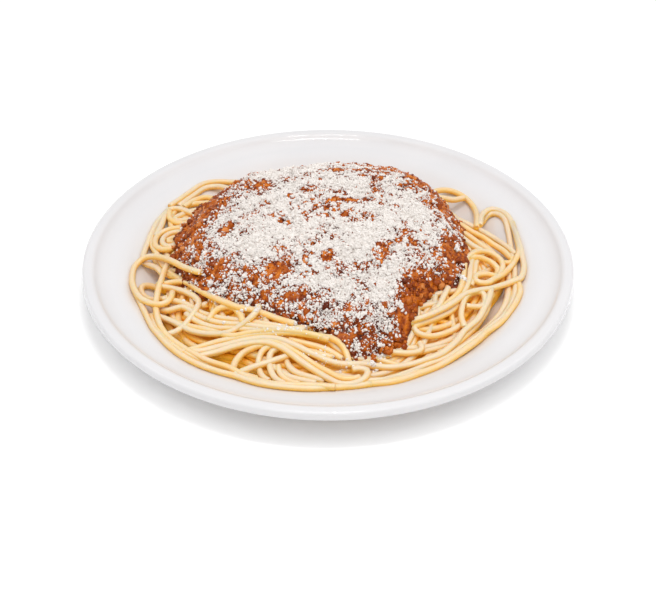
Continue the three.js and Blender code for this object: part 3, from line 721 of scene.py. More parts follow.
# %% Routes on the right
RIGHT = [
    [(98, -10), (97, -25), (94.8, -37.2), (90.8, -50.7), (85, -60.6), (78.9, -68), (72.2, -76), (60, -86),
     (50, -92)],
    [(95, -8), (94.5, -18), (93.5, -27), (91.3, -40.5), (86.7, -52.4), (80.8, -61.3), (74.2, -69.5), (64, -78),
     (54, -84)],
    [(20, -81), (26, -82.6), (31, -83), (38, -84), (44, -83), (46, -80), (45, -76)],
    [(66, -62), (60, -67), (52, -70.5), (46, -69), (43, -65), (44.5, -61.5), (54, -56), (62, -50), (66, -45)],
    [(26, -52), (33, -58.5), (40, -60.5), (45, -58.5), (50, -54), (56, -46), (59, -38), (62, -30)],
    [(82, -1), (78.5, -1.5), (76, -6), (74.5, -14), (73.5, -22), (71, -31), (67, -38)],
    [(80, -3), (78, -8), (77, -14), (76, -21), (74, -28)],
    [(86, 1), (80, 2.5), (76, 0.5), (73.5, -5), (71.5, -12), (70.5, -20), (69, -28), (66, -36), (60, -44),
     (52, -52),
     (46, -57), (39, -60), (32, -58), (25, -51)],
    [(84, 29), (88, 37), (93, 39), (97, 34), (98, 22), (98, 7), (98, -10), (97, -25), (96, -35), (93, -45),
     (88, -55),
     (82, -62), (77, -68), (65, -80), (58, -87), (48, -93), (38, -99), (28, -104), (18, -105), (9, -104),
     (0, -101)],
    [(98, -22), (99, -32), (96, -42), (92, -50), (86, -60), (78, -68), (72, -76), (56, -92), (44, -100), (32, -106),
     (20, -107.5), (12, -106.5), (4, -104)],
    [(83, -31), (84, -36), (82, -42), (80, -50), (75, -60), (70, -68), (63, -77), (55, -84), (46, -90)],
    [(72, 16), (75.7, 10.2), (79, 6), (82, 3), (85, 0)],
    [(66, 27), (71, 23), (75.7, 17.7), (79.4, 12.3), (82.5, 7), (85.7, 3), (88, 0)],
    [(70, 34), (75, 30), (80, 25), (86, 19), (92, 12), (97, 5), (99.5, 0)],
    [(68, 31), (73, 27), (78, 20.5), (84, 15), (88.5, 9), (93.5, 3), (96, -2), (97.7, -5.3), (96.5, -8.4),
     (93, -8)],
    [(62, -8), (70, -5), (78, -3), (83, -5), (87, -9), (89, -14), (88, -20)],
    [(60, -12), (67, -8), (74, -3), (78, 1), (84, 2), (90, -3), (92, -10), (90, -18), (86, -23)],
    [(68, -63), (67, -55), (68, -47), (70, -40), (74, -36), (79, -36), (80, -42), (78, -48), (73, -50), (70, -50)],
    [(81, 25), (82, 37), (80, 49), (75, 58), (68, 63), (61, 62), (52, 56)],
    [(56, 56), (64, 55), (70, 53), (76, 55)],
    [(101, 30), (102, 15), (102, 3), (99, -6), (96, -12), (91, -19), (86, -23), (83, -26), (79.7, -26.3),
     (77, -24.5),
     (76.3, -21.4), (78, -19.2), (81.5, -18.4), (85, -19), (88, -21)],
    [(83, 27), (85, 37), (90, 43), (95, 42), (99, 37), (101, 27), (102.5, 12), (103, 0), (103, -12), (100.5, -21.5),
     (97, -24), (93.6, -26.2), (87.6, -29.3), (84, -31), (79.3, -32), (75.8, -33), (71.5, -35), (68.5, -37.3),
     (65.5, -41), (60.7, -45.8), (56.6, -49), (52, -52.5), (47, -55.5), (41, -58), (34, -57), (27, -50)],
]
BACK = [
    [(-66, 66), (-52, 76), (-34, 83), (-12, 88), (8, 86), (20, 80)],
    [(-30, 80), (-14, 86), (4, 89), (32, 84), (54, 70), (66, 56), (64, 46)],
]

# %% Lay them along their lines of sight
SIGHT_SHEET = 20


def at_height(sighted, height):
    """The places at given heights that a camera sees at the same spots as places on the level sheet. On the
    line from the camera, the share of the way is (camera height - height) / (camera height - sheet)."""
    share = (CAMERA_PLACE[2] - height) / (CAMERA_PLACE[2] - SIGHT_SHEET)
    return CAMERA_PLACE[:2] + (sighted - CAMERA_PLACE[:2]) * np.reshape(share, (-1, 1))


def lay_sighted(points, lift, under_sauce=True):
    """Lays a strand that was followed on the photograph, without what lies deep under the sauce."""
    sighted = smooth_route(points)
    height = bed_height(*sighted.T)
    for _ in range(4):
        route = at_height(sighted, height)
        ceiling = ceiling_over(route, lift, under_sauce)
        height = (height + drape(heap.rest(*route.T, STRAND_RADIUS), ceiling)) / 2
    kept = sauce_share(*route.T) > BURIED_SHARE * under_sauce
    return lay(at_height(sighted, height)[kept], lift, under_sauce)


def lifts(strands):
    """Each strand of a group with its lift: the later it is laid, the higher it may lie."""
    return zip(strands, np.linspace(1.2, 4.6, len(strands)))


heroes = [lay(smooth_route(points), 0.5) for points in BACK]
for group in (LEFT, RIGHT, FRONT):
    heroes += [lay_sighted(points, lift) for points, lift in lifts(group)]
heroes.append(lay_sighted(ROUND_THE_LEFT, 5.5))
above = [np.mean(path[:, 2] - bed_height(*path[:, :2].T)) for path in heroes]
print(len(heroes), "strands were followed one by one; they lie", round(float(np.mean(above)), 1), "mm over the bed")

# %% [markdown]
# ## The mound of sauce
#
# The sauce is minced meat in a thick tomato sauce. It was ladled on the middle of the heap and slumped, so it
# has a thick round edge, and it is lumpy at every scale: broad heaps, clumps and single crumbs. A mound has
# one height over each place, so it is worked out on the map as well, and the mesh is rings from the
# middle to the edge.

# %% Heaps and clumps in the sauce
# x, y, width and rise of broad swells; number of clumps with their least and most width and rise.
SWELLS = [(48, 42, 26, 4.5), (42, 60, 14, 2.5), (-45, 40, 24, 1.5), (-44, 60, 9, 2.5), (10, 55, 24, 2),
          (20, -62, 18, 1)]
LUMPS = [(240, 4, 9, 1.0, 3.2), (1500, 1.8, 3.6, 1.4, 3.4), (4200, 1.1, 2.0, 1.2, 2.8)]
SAUCE_THICKNESS = 4.6
SUNK_INTO_PASTA = 1.0
GOLDEN_ANGLE = 2.39996


def value_noise(x, y, cell, seed):
    """Smooth noise from 0 to 1: chance numbers on a square grid, with a smooth step between them."""
    table = np.random.default_rng(seed).random((64, 64))
    u, v = x / cell + 32, y / cell + 32
    i, j = np.floor(u).astype(int), np.floor(v).astype(int)
    s, t = smooth_step(u - i), smooth_step(v - j)
    low = table[i % 64, j % 64] * (1 - s) + table[(i + 1) % 64, j % 64] * s
    high = table[i % 64, (j + 1) % 64] * (1 - s) + table[(i + 1) % 64, (j + 1) % 64] * s
    return low * (1 - t) + high * t


def blurred(z, width):
    """A map smoothed by a bell curve of this width in mm. It is done on the map's waves: one of f waves a
    mm is weakened by exp(-2 (pi f width) (pi f width))."""
    across, along = np.fft.fftfreq(z.shape[0], MAP_CELL)[:, None], np.fft.rfftfreq(z.shape[1], MAP_CELL)
    weaken = np.exp(-2 * (np.pi * width) ** 2 * (across**2 + along**2))
    return np.fft.irfft2(np.fft.rfft2(z) * weaken, z.shape)


def golden_places(count, edge, share=1.0):
    """Even places over an outline: the i-th lies at i golden angles, at the square root of i from the
    middle."""
    index = np.arange(count) + 0.5
    angle = half_turns(index * GOLDEN_ANGLE)
    return from_middle(share * reach_of(edge, angle) * np.sqrt(index / count), angle)


pasta_top = HeightMap(bed_height)
pasta_top.z = blurred(heap.z, 1.5)
grid_x, grid_y = np.meshgrid(heap.line, heap.line, indexing="ij")
share = sauce_share(grid_x, grid_y)
near_edge = smooth_step((share - 0.82) / 0.1)
base = HeightMap(bed_height)
base.z = base.z * (1 - near_edge) + np.maximum(blurred(heap.z, 2.0), base.z - 2) * near_edge
swell = sum(rise * np.exp(-((grid_x - x) ** 2 + (grid_y - y) ** 2) / wide**2) for x, y, wide, rise in SWELLS)

rng = np.random.default_rng(19)
clumps = HeightMap(lambda x, y: 0 * x)
for count, least, most, low, high in LUMPS:
    x, y = golden_places(count, SAUCE_EDGE, 0.98)
    x, y = x + rng.normal(0, 2, count), y + rng.normal(0, 2, count)
    wide, rise = rng.uniform(least, most, count), rng.uniform(low, high, count)
    ball = (wide**2 + rise**2) / (2 * rise)
    clumps.stamp(x, y, rise - ball, ball)
sauce_map = HeightMap(bed_height)
round_edge = np.sqrt(1 - np.minimum(share, 1) ** 8)
sauce_map.z = base.z + SAUCE_THICKNESS * round_edge + swell + blurred(clumps.z, 0.3) - 0.2
over_pasta = blurred((share < 0.985).astype(float), 0.8) * np.maximum(0, heap.z + STRAND_SINK + 1 - sauce_map.z)
sauce_map.z += over_pasta
# Painted shade: the sauce is darker in its hollows, and half as dark along its round edge.
hollows = HeightMap(bed_height)
hollows.z = np.clip((blurred(sauce_map.z, 1.8) - sauce_map.z + 0.2) / 1.2, 0, 1)
hollows.z = np.maximum(hollows.z, 0.5 * smooth_step((share - 0.965) / 0.03))
print("sauce rises to", round(float(sauce_map.z[share < 1].max()), 1), "mm")

# %% The mesh of the mound
RINGS, SECTORS = 190, 460


def mound(surface, edge_wobble):
    """Rings of a closed mound. Ring k lies at the share sin(k / n * 90 degrees) of the reach, so the rings
    crowd at the edge, where the height falls as a quarter round. Nine more rings close the underside."""
    angle = angles_round(SECTORS)
    reach = reach_of(SAUCE_EDGE, half_turns(angle)) * edge_wobble(angle)
    share = np.sin(np.linspace(0, np.pi / 2, RINGS + 1)[1:])[:, None]
    x, y = from_middle(share * reach, angle)
    low = base.at(x, y) - SUNK_INTO_PASTA
    top = low + (surface(x, y) - low) * np.sqrt(1 - np.minimum(share, 1) ** 50)
    under = np.linspace(1, 0, 11)[1:-1, None]
    under_x, under_y = from_middle(under * reach, angle)
    rings = np.concatenate([
        np.stack([x, y, top], axis=-1),
        np.stack([under_x, under_y, base.at(under_x, under_y) - SUNK_INTO_PASTA], axis=-1)])
    highest = float(surface(np.zeros(1), np.zeros(1))[0])
    ends = np.array([[0, 0, highest], [0, 0, float(bed_height(0, 0)) - SUNK_INTO_PASTA]])
    return np.concatenate([rings.reshape(-1, 3), ends]), ring_faces(len(rings), SECTORS)


def wobble(angle):
    """The edge's small ins and outs, as noise on a circle."""
    circle = from_middle(30, angle)
    around, fine = value_noise(*circle, 3, 8), value_noise(*circle, 1.1, 9)
    return 1.01 + 0.05 * (around - 0.5) + 0.04 * (fine - 0.5)


mound_points, mound_faces = mound(sauce_map.at, wobble)
covered = share < 1
heap.z[covered] = np.maximum(heap.z[covered], sauce_map.z[covered])

# %% [markdown]
# ## Crumbs of meat
#
# Single crumbs stand out of the sauce, from one to four and a half millimetres across, mostly in clusters.
# Each is a small ball of 80 faces, or of 20 for the smallest, pulled well out of round, so that thousands of
# them stay light. They are built as one array of shape crumbs by corners by 3.

# %% A ball of triangles, and a scatter of them
def ball_of_triangles(halvings):
    """A twenty-sided ball. Each halving cuts every triangle into four and pushes the new corners out."""
    golden = (1 + math.sqrt(5)) / 2
    signs = np.array([(-1, golden), (1, golden), (-1, -golden), (1, -golden)])
    none = np.zeros(4)
    points = np.concatenate([np.column_stack([signs, none]), np.column_stack([none, signs]),
                             np.column_stack([signs[:, 1], none, signs[:, 0]])])
    points /= np.linalg.norm(points, axis=1, keepdims=True)
    near = np.linalg.norm(points[:, None] - points[None], axis=-1)
    edge = near[near > 0].min() * 1.01
    triples = np.array([(a, b, c) for a in range(12) for b in range(a + 1, 12) for c in range(b + 1, 12)
                        if max(near[a, b], near[b, c], near[a, c]) < edge])
    normal = np.cross(points[triples[:, 1]] - points[triples[:, 0]], points[triples[:, 2]] - points[triples[:, 0]])
    inward = np.sum(normal * points[triples[:, 0]], axis=1) < 0
    triples[inward] = triples[inward][:, ::-1]
    for _ in range(halvings):
        pairs = np.sort(np.concatenate([triples[:, [0, 1]], triples[:, [1, 2]], triples[:, [2, 0]]]), axis=1)
        unique, place = np.unique(pairs, axis=0, return_inverse=True)
        middle = points[unique].mean(axis=1)
        middle /= np.linalg.norm(middle, axis=1, keepdims=True)
        ab, bc, ca = place.reshape(3, -1) + len(points)
        a, b, c = triples.T
        points = np.concatenate([points, middle])
        triples = np.concatenate([np.stack(t, axis=-1) for t in ((a, ab, ca), (b, bc, ab), (c, ca, bc), (ab, bc, ca))])
    return points, triples


def turned_by_chance(count, rng):
    """Chance rotations, one for each piece, from four normal numbers scaled to length 1."""
    w, x, y, z = rng.normal(size=(4, count))
    w, x, y, z = np.array([w, x, y, z]) / np.sqrt(w * w + x * x + y * y + z * z)
    return np.stack([
        1 - 2 * (y * y + z * z), 2 * (x * y - z * w), 2 * (x * z + y * w),
        2 * (x * y + z * w), 1 - 2 * (x * x + z * z), 2 * (y * z - x * w),
        2 * (x * z - y * w), 2 * (y * z + x * w), 1 - 2 * (x * x + y * y)], axis=-1).reshape(count, 3, 3)


def scatter(shape, triples, places, sizes, rng, uneven=0.2, stretch=(0.75, 1.3)):
    """Copies of a shape at places: each is made uneven, stretched along its own axes, turned and moved."""
    count = len(places)
    bumps = 1 + uneven * rng.uniform(-1, 1, (count, len(shape), 1))
    points = shape[None] * bumps * rng.uniform(*stretch, (count, 1, 3)) * sizes[:, None, None]
    points = np.einsum("nij,nkj->nki", turned_by_chance(count, rng), points) + places[:, None]
    faces = triples[None] + (np.arange(count) * len(shape))[:, None, None]
    return points.reshape(-1, 3), [faces.reshape(-1, 3)]


def chance_places(count, area, rng):
    """Chance places, spread evenly over the sauce's outline grown to `area` times its area."""
    angle, share = rng.uniform(-np.pi, np.pi, count), np.sqrt(rng.uniform(0, area, count))
    return from_middle(share * reach_of(SAUCE_EDGE, angle), angle)


rng = np.random.default_rng(23)


def crumbs(shape, faces, count, least, most, sunk, even):
    """Crumbs of one size range, sunk by a share of their size into the sauce. They crowd where a noise is
    high. Each crumb's own tone is a chance number."""
    x, y = chance_places(4 * count, 1, rng)
    crowding = even + (1 - even) * smooth_step((value_noise(x, y, 9, 31) - 0.35) / 0.3)
    kept = np.flatnonzero(rng.random(4 * count) < crowding)[:count]
    x, y, size = x[kept], y[kept], rng.uniform(least, most, len(kept))
    z = heap.at(x, y) - sunk * size
    points, faces = scatter(shape, faces, np.column_stack([x, y, z]), size, rng, 0.28, (0.6, 1.4))
    heap.stamp(x, y, z, size * 0.9)
    print(len(x), "crumbs of", 2 * least, "to", 2 * most, "mm across")
    return points, faces, np.repeat(rng.random(len(x)), len(shape))


large_crumbs = crumbs(*ball_of_triangles(1), 2400, 0.9, 2.3, 0.75, 0.15)
small_crumbs = crumbs(*ball_of_triangles(0), 3500, 0.5, 1.0, 0.3, 0.4)
heroes.append(lay_sighted(OVER_THE_SAUCE, 12.0, under_sauce=False))

# %% [markdown]
# ## Grated cheese
#
# The cheese was grated finely and fell from above as grains, flakes and shreds, thick over the middle and
# thin at the edge. How thickly it lies is a function of the place: an outline, bare patches, solid ones and
# noise. A chance place is kept where a chance number is below that cover. The finest kinds crowd where most
# cheese lies. Powder too fine to model is a dust in the colour of the sauce, which reads the same cover.

# %% How thick the cheese lies
# Each patch has x, y, width, depth and strength.
CHEESE_EDGE = np.array([
    (64, 4), (63, 12), (57, 15), (54, 23), (52, 32), (46, 40), (38, 46), (30, 52), (16, 62), (-4, 70), (-26, 72),
    (-42, 66), (-50, 56), (-53, 42), (-56, 30), (-58, 16), (-63, 7), (-70, -2), (-73, -13), (-70, -26), (-64, -37),
    (-56, -47), (-46, -55), (-35, -60), (-25, -63), (-15, -66), (-5, -72), (5, -80), (15, -85), (25, -80),
     (32, -71),
    (35, -60), (36, -51), (43, -40), (54, -34), (60, -24), (61, -12)])
BARE = np.array([
    (-25, -43, 8, 7, 0.9), (-20, -36, 4, 4, 0.5), (-18, -59, 10, 4, 0.8), (-38, -42, 6, 4, 0.45),
     (-48, -43, 10, 8, 0.2),
    (-34, -54, 12, 4, 0.45), (-56, -32, 5, 6, 0.2), (0, -38, 4, 4, 0.75), (6, -44, 7, 6, 0.35),
     (15, -43, 5, 3, 0.4),
    (28, -33, 6, 5, 0.4), (-5, -59, 8, 4, 0.35), (10, -66, 16, 4, 0.3), (14, -77, 16, 7, 0.45),
     (50, -48, 11, 12, 0.92),
    (43, -61, 8, 10, 0.85), (47, -28, 7, 6, 0.4), (39, -13, 5, 4, 0.35), (66, -17, 8, 14, 0.85),
     (55, -23, 5, 6, 0.4),
    (22, -5, 6, 5, 0.45), (13, -8, 5, 3, 0.4), (10, 11, 14, 2.0, 0.8), (-8, 15, 8, 4, 0.3), (30, 10, 6, 3, 0.3),
    (-38, 3, 4, 4, 0.35), (-28, -2, 6, 3, 0.4), (-10, 23, 5, 4, 0.35), (-3, -14, 5, 4, 0.2), (-45, -13, 8, 6, 0.2),
    (-7, -26, 6, 3, 0.25), (-53, -6, 5, 5, 0.7), (-63, 2, 6, 8, 0.3), (-59, 22, 8, 14, 0.45), (-50, 12, 6, 5, 0.3),
    (-66, -14, 5, 6, 0.25), (-36, 32, 8, 9, 0.6), (-21, 37, 8, 4, 0.5), (-48, 32, 7, 12, 0.35),
     (-53, 52, 8, 14, 0.5),
    (-42, 62, 6, 10, 0.5), (4, 45, 9, 3.4, 0.92), (10, 62, 5, 14, 0.5), (-14, 62, 4, 10, 0.4), (20, 37, 4, 4, 0.4),
    (-8, 77, 8, 6, 0.4), (46, 58, 13, 13, 0.92), (30, 52, 7, 5, 0.6), (22, 60, 5, 12, 0.6), (53, 38, 8, 8, 0.6),
    (53, 18, 7, 4, 0.45), (34, 80, 14, 8, 0.8), (44, 30, 7, 6, 0.35), (-62, -18, 9, 7, 0.35),
     (-56, -33, 11, 8, 0.58),
    (-45, -42, 12, 7, 0.6), (-68, -4, 8, 9, 0.45), (12, 70, 16, 6, 0.5)])
SOLID = np.array([
    (-38, 8, 9, 4, 0.9), (-35, -15, 8, 5, 0.95), (-15, -21, 13, 6, 1), (11, -26, 8, 4, 1), (3, 29, 15, 7, 1),
    (33, 24, 8, 7, 0.95), (45, 3, 12, 7, 1), (20, -48, 13, 5, 1), (-27, 46, 12, 8, 0.9), (-10, 48, 8, 6, 0.9)])
SPILT = np.array([
    (-12, -71, 14, 3, 0.35), (-15, -62, 8, 2, 0.8), (1, -71, 4, 2, 0.7), (-4, -84, 9, 5, 0.3), (5, -88, 8, 4, 0.4),
    (13, -88, 7, 3, 0.5), (-46, -42, 6, 3, 0.7), (23, -82, 6, 4, 0.4), (68, -28, 3, 6, 0.3),
    (68, 2, 3, 6, 0.4), (-54, -44, 9, 4, 0.3), (-34, -61, 9, 3, 0.3)])


def patches(x, y, table):
    """The strongest of some soft oval patches at each place: amount times exp(-(dx / wide)(dx / wide) -
    (dy / deep)(dy / deep))."""
    return np.max([amount * np.exp(-((x - at_x) / wide) ** 2 - ((y - at_y) / deep) ** 2)
                   for at_x, at_y, wide, deep, amount in table], axis=0)


def cheese_cover(x, y):
    """How much cheese lies at each place, from 0 to 1."""
    inside = 1 - smooth_step((sauce_share(x, y, CHEESE_EDGE) - 0.84) / 0.28)
    drifts = 0.35 * value_noise(x, y, 9, 43) + 0.3 * value_noise(x, y, 4, 41) + 0.35 * value_noise(x, y, 1.5, 42)
    cover = (0.015 + 0.985 * inside) * (0.04 + 1.2 * smooth_step((drifts - 0.27) / 0.26))
    cover = np.maximum(cover, inside * patches(x, y, SOLID)) * (1 - patches(x, y, BARE)) ** 3.5
    on_sauce = 1 - smooth_step((sauce_share(x, y) - 0.97) / 0.08)
    return np.clip(np.maximum(cover * on_sauce, patches(x, y, SPILT)), 0, 1)


def cheese_places(count, crowding, rng):
    """Places that follow the cover raised to the power `crowding`."""
    x, y = chance_places(9 * count, 1.5, rng)
    kept = np.flatnonzero(rng.random(9 * count) < cheese_cover(x, y) ** crowding)[:count]
    return x[kept], y[kept]


# %% Grains, flakes and shreds
ball = ball_of_triangles(0)
octahedron = (np.array([(1, 0, 0), (-1, 0, 0), (0, 1, 0), (0, -1, 0), (0, 0, 1), (0, 0, -1)], float),
              np.array([(4, 0, 2), (4, 2, 1), (4, 1, 3), (4, 3, 0), (5, 2, 0), (5, 1, 2), (5, 3, 1), (5, 0, 3)]))
rng = np.random.default_rng(29)


def grains(shape, faces, count, least, most, stretch, crowding):
    """Chance places, sizes and heights of many grains of one shape."""
    x, y = cheese_places(count, crowding, rng)
    size = rng.uniform(least, most, len(x))
    z = heap.at(x, y) + size * rng.uniform(0, 0.9, len(x))
    print(len(x), "grains of", 2 * least, "to", 2 * most, "mm across")
    return scatter(shape, faces, np.column_stack([x, y, z]), size, rng, 0.25, stretch)


coarse_grains = grains(*ball, 5500, 0.42, 0.85, (0.6, 1.5), 0.8)
flakes = grains(*octahedron, 19000, 0.3, 0.62, (0.4, 1.7), 1.0)
fine_grains = grains(*octahedron, 24000, 0.2, 0.42, (0.6, 1.4), 1.6)
shreds = grains(*octahedron, 20000, 0.22, 0.42, (0.35, 2.2), 1.6)

# %% Clumps of cheese
# x, y and width of each clump.
CLUMPS = [(-53, -44, 3.0), (-34, -30, 2.0), (14, -80, 2.4), (26, -80, 2.6), (30, -70, 2.2), (22, -88, 2.4),
          (64, 4, 2.0), (68, -10, 1.8), (-64, -21, 1.5), (-60, -38, 1.7), (-40, -56, 1.6), (36, -60, 1.8),
          (70, -28, 1.5)]
CLUMP_GRAINS = 34
rng = np.random.default_rng(37)
x, y, size = np.concatenate([
    (rng.normal(at_x, wide * 0.42, CLUMP_GRAINS), rng.normal(at_y, wide * 0.42, CLUMP_GRAINS),
     rng.uniform(0.35, 0.9, CLUMP_GRAINS)) for at_x, at_y, wide in CLUMPS], axis=1)
z = heap.at(x, y) + rng.uniform(0.1, 1.6, len(x))
clumps_of_cheese = scatter(*ball, np.column_stack([x, y, z]), size, rng, 0.3, (0.7, 1.3))
print(len(CLUMPS), "clumps of", CLUMP_GRAINS, "grains")

# %% [markdown]
# ## Finishes of the food
#
# Cooked pasta is pale and slightly see-through, so light that enters it comes out warmer; that glow and the shade in
# the heap are painted into its colour, and it has a faint painted glow. The sauce is wet: oil and water on it shine,
# over a brown-red that turns orange where it is thin, with painted shade in the hollows and under the cheese and a
# painted sheen on its palest spots. The cheese is dry and dull, and where it lies thick its dust hides the sauce.

# %% Pasta
pasta = Finish("cooked_pasta")
# Painted shade and glow: pale on top of each strand, deeper orange low on it and deep in the heap.
warmth = pasta.attribute("warmth") + 0.22 * (pasta.noise(7, 3) - 0.5) + 0.16 * (pasta.attribute("tone") - 0.5)
pasta_colour = pasta.ramp(warmth, [
    (0.0, (0.74, 0.60, 0.41)), (0.15, (0.82, 0.54, 0.19)), (0.35, (0.90, 0.52, 0.11)), (0.65, (1.0, 0.53, 0.045)),
    (0.95, (1.0, 0.52, 0.025))])
pasta.set(
    Base_Color=pasta_colour,
    Roughness=0.26 + 0.18 * pasta.noise(4, 3),
    IOR=1.46,
    Subsurface_Weight=0.25,
    Subsurface_Radius=(1.0, 0.5, 0.15),
    Subsurface_Scale=0.0015,
    # Painted glow: the pasta faintly gives off its own colour, for light scattered through it.
    Emission_Color=pasta_colour,
    Emission_Strength=0.03,
    Normal=pasta.bump(pasta.noise(1.2, 3), 0.06),
)

# %% Sauce, crumbs and cheese
CHEESE_DUST = (0.79, 0.745, 0.70, 1)
# The palest sauce colour is a painted sheen of wet highlights.
PAINTED_SHEEN_SAUCE = (0.72, 0.30, 0.09)
DARK_SAUCE, RED_SAUCE, ORANGE_SAUCE = (0.07, 0.009, 0.001), (0.31, 0.054, 0.002), (0.60, 0.155, 0.004)
sauce = Finish("tomato_meat_sauce")
# Painted shade: the sauce is darker in its hollows, at its edge and among the cheese grains, where shade falls.
shade = 0.44 * sauce.attribute("hollow") + 0.34 * sauce.attribute("cover")
mottle_and_painted_shade = 0.4 * sauce.noise(6, 3, 0.6) + 0.6 * sauce.noise(2, 3, 0.6) + 0.12 - shade
sauce_colour = sauce.ramp(mottle_and_painted_shade, [
    (0.26, DARK_SAUCE), (0.48, RED_SAUCE), (0.66, ORANGE_SAUCE), (0.82, PAINTED_SHEEN_SAUCE)])
sauce_dust = sauce.dust()
sauce.set(
    Base_Color=sauce.blend(sauce_dust, sauce_colour, CHEESE_DUST),
    Roughness=0.06 + 0.14 * sauce.noise(3, 3) + 0.6 * sauce_dust,
    IOR=1.35,
    Specular_IOR_Level=0.4,
    Normal=sauce.bump(sauce.noise(1.8, 2, 0.5), 0.55),
)

meat = Finish("meat_crumbs")
# Painted shade: crumbs are darker where cheese covers them. The palest stop is a painted sheen.
crumb_tone_and_painted_shade = (0.6 * meat.attribute("tone") + 0.5 * (meat.noise(6, 3, 0.6) - 0.5)
              + 0.6 * (meat.noise(1.6, 3, 0.6) - 0.5) + 0.2 - 0.32 * meat.attribute("cover"))
crumb_colour = meat.ramp(crumb_tone_and_painted_shade, [
    (0.1, (0.10, 0.012, 0.001)), (0.4, (0.29, 0.050, 0.003)), (0.65, (0.50, 0.115, 0.005)),
     (0.9, (0.74, 0.30, 0.09))])
meat_dust = meat.dust()
meat.set(
    Base_Color=meat.blend(meat_dust, crumb_colour, CHEESE_DUST),
    Roughness=0.06 + 0.14 * meat.noise(2, 3) + 0.6 * meat_dust,
    IOR=1.35,
    Specular_IOR_Level=0.4,
    Normal=meat.bump(meat.noise(1.4, 2, 0.5), 0.3),
)

cheese = Finish("grated_cheese")
cheese.set(
    Base_Color=cheese.blend(cheese.noise(3, 2), (0.755, 0.712, 0.672, 1), (0.845, 0.80, 0.765, 1)),
    Roughness=0.6 + 0.2 * cheese.noise(1, 2),
    IOR=1.4,
)

# %% Add the pasta
def painted_glow_and_shade_of(points):
    """Painted shade and glow at each point of a tube, from 0 to 1, for light that has come through pasta and
    for shade: it grows by how low the point lies on its ring, and by how deep it lies below the top of the heap round
    it."""
    rings = points[:-2, 2].reshape(-1, STRAND_SIDES)
    low = np.append((rings.mean(axis=1, keepdims=True) - rings).ravel(), [0, 0]) / STRAND_RADIUS
    depth = (pasta_top.at(points[:, 0], points[:, 1]) - points[:, 2]) / 7
    return np.clip(0.32 + 0.44 * low + np.clip(depth, 0, 0.9), 0, 1)


def strands(name, paths, seed):
    """Joins the tubes of many strands into one piece, each with its own thickness and tone."""
    rng = np.random.default_rng(seed)
    all_points, all_faces, tones, glow_and_shade_values, start = [], [[], [], []], [], [], 0
    for path in paths:
        swell = 1 + 0.035 * np.sin(np.arange(len(path)) * 0.35 + rng.uniform(0, 6.3)) + rng.normal(0, 0.02)
        points, faces = tube(path, STRAND_RADIUS * swell)
        for kept, part in zip(all_faces, faces):
            kept.append(part + start)
        all_points.append(points)
        tones.append(np.full(len(points), rng.random()))
        glow_and_shade_values.append(painted_glow_and_shade_of(points))
        start += len(points)
    piece = add_piece(name, np.concatenate(all_points), [np.concatenate(part) for part in all_faces],
                      pasta, "spaghetti", ["spaghetti"])
    add_attribute(piece, "tone", np.concatenate(tones))
    add_attribute(piece, "warmth", np.concatenate(glow_and_shade_values))


def core_shape(rings=60, around=240):
    """Rings of the core: ring k lies at the share k / n of the way to the heap's edge. Its underside is one
    more ring, just inside the plate's floor."""
    angle = angles_round(around)
    share = np.linspace(0, 1, rings + 1)[1:, None]
    x, y = from_middle(share * reach_of(HEAP_EDGE, half_turns(angle)), angle)
    top = np.stack([x, y, core_height(x, y)], axis=-1)
    under = np.stack([0.6 * x[-1], 0.6 * y[-1], np.full(around, CORE_FOOT)], axis=-1)[None]
    ends = np.array([[0, 0, float(core_height(0, 0))], [0, 0, CORE_FOOT]])
    return np.concatenate([top.reshape(-1, 3), under.reshape(-1, 3), ends]), ring_faces(rings + 1, around)


core = add_piece("pasta_core", *core_shape(), pasta, "spaghetti", ["spaghetti"])
add_attribute(core, "tone", np.full(len(core.data.vertices), 0.5))
# The core lies deepest, so it takes the full painted shade and glow.
add_attribute(core, "warmth", np.full(len(core.data.vertices), 1.0))
strands("strands_in_the_heap", fillers, 3)
strands("strands_on_top", heroes, 4)

# %% Add the sauce, the crumbs and the cheese
mound_piece = add_piece("sauce_mound", mound_points, mound_faces, sauce, "meat_sauce", ["meat_sauce"])
add_attribute(mound_piece, "cover", cheese_cover(mound_points[:, 0], mound_points[:, 1]))
add_attribute(mound_piece, "hollow", hollows.at(mound_points[:, 0], mound_points[:, 1]))
for name, (points, faces, tones) in (("meat_crumbs", large_crumbs), ("fine_meat_crumbs", small_crumbs)):
    crumb_piece = add_piece(name, points, faces, meat, "meat_sauce", ["meat_sauce"])
    add_attribute(crumb_piece, "tone", tones)
    add_attribute(crumb_piece, "cover", cheese_cover(points[:, 0], points[:, 1]))
for name, (points, faces) in (("fine_cheese_grains", fine_grains), ("cheese_flakes", flakes),
                              ("cheese_shreds", shreds), ("coarse_cheese_grains", coarse_grains),
                              ("cheese_clumps", clumps_of_cheese)):
    add_piece(name, points, faces, cheese, "meat_sauce", ["meat_sauce"], smooth=False)

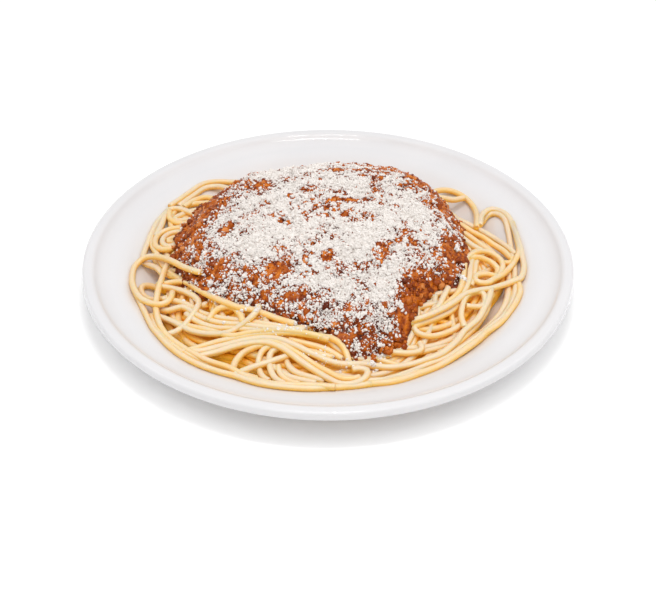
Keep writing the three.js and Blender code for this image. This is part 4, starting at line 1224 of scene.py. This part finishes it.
# %% [markdown]
# ## Floor and light
#
# The plate stands on plain white, lit softly from above, so the only shadow is a narrow soft one round
# its foot. A white world lights it from all sides. A broad lamp in front and one on each side give the food
# its form, and a smaller one overhead draws the shadow's edge. They hardly shine in the glaze: what is
# mirrored there is a row of six small lamps, as short bright marks on the far rim.

# %% Floor, lamps and world
SOFT_SHINE = 0.04
OVERHEAD_Y, OVERHEAD_Z = -0.1, 1.05
WORLD_STRENGTH = 0.635


def lamp(name, place, aim, size, power, shine=1.0):
    """A soft rectangular lamp that points from its place to its aim, in metres."""
    data = bpy.data.lights.new(name, "AREA")
    data.shape = "RECTANGLE"
    data.size, data.size_y = size
    data.energy = power
    data.specular_factor = shine
    light = bpy.data.objects.new(name, data)
    light.location = place
    forward = np.array(aim, float) - place
    forward /= np.linalg.norm(forward)
    light.rotation_euler = (math.acos(-forward[2]), 0, math.atan2(-forward[0], forward[1]))
    bpy.context.scene.collection.objects.link(light)


floor_mesh = bpy.data.meshes.new("floor")
floor_mesh.from_pydata([(-3, -3, 0), (3, -3, 0), (3, 3, 0), (-3, 3, 0)], [], [(0, 1, 2, 3)])
floor = bpy.data.objects.new("floor", floor_mesh)
bpy.context.scene.collection.objects.link(floor)
white = Finish("white_floor")
white.set(Base_Color=(0.95, 0.95, 0.95, 1), Roughness=0.9, Emission_Color=(1, 1, 1, 1), Emission_Strength=0.06)
floor_mesh.materials.append(white.material)

lamp("front_lamp", (0, -0.8, 1.2), (0, 0, 0), (1.0, 1.0), 5.6, SOFT_SHINE)
for side, power in ((-0.9, 1.9), (0.9, 2.6)):
    lamp("side_lamp", (side, 0, 0.9), (0, 0, 0), (0.8, 0.8), power, SOFT_SHINE)
lamp("wide_lamp", (0, OVERHEAD_Y, OVERHEAD_Z), (0, 0, 0), (0.3, 0.3), 1.2, 0.0)
for across in np.linspace(-0.106, 0.207, 6):
    lamp("small_lamp", (across, OVERHEAD_Y, OVERHEAD_Z), (0, 0, 0), (0.018, 0.1), 0.28)
world = bpy.data.worlds.new("white_room")
world.use_nodes = True
background = world.node_tree.nodes["Background"]
background.inputs["Color"].default_value = (1, 1, 1, 1)
background.inputs["Strength"].default_value = WORLD_STRENGTH
bpy.context.scene.world = world
bpy.context.scene.view_settings.view_transform = "Standard"
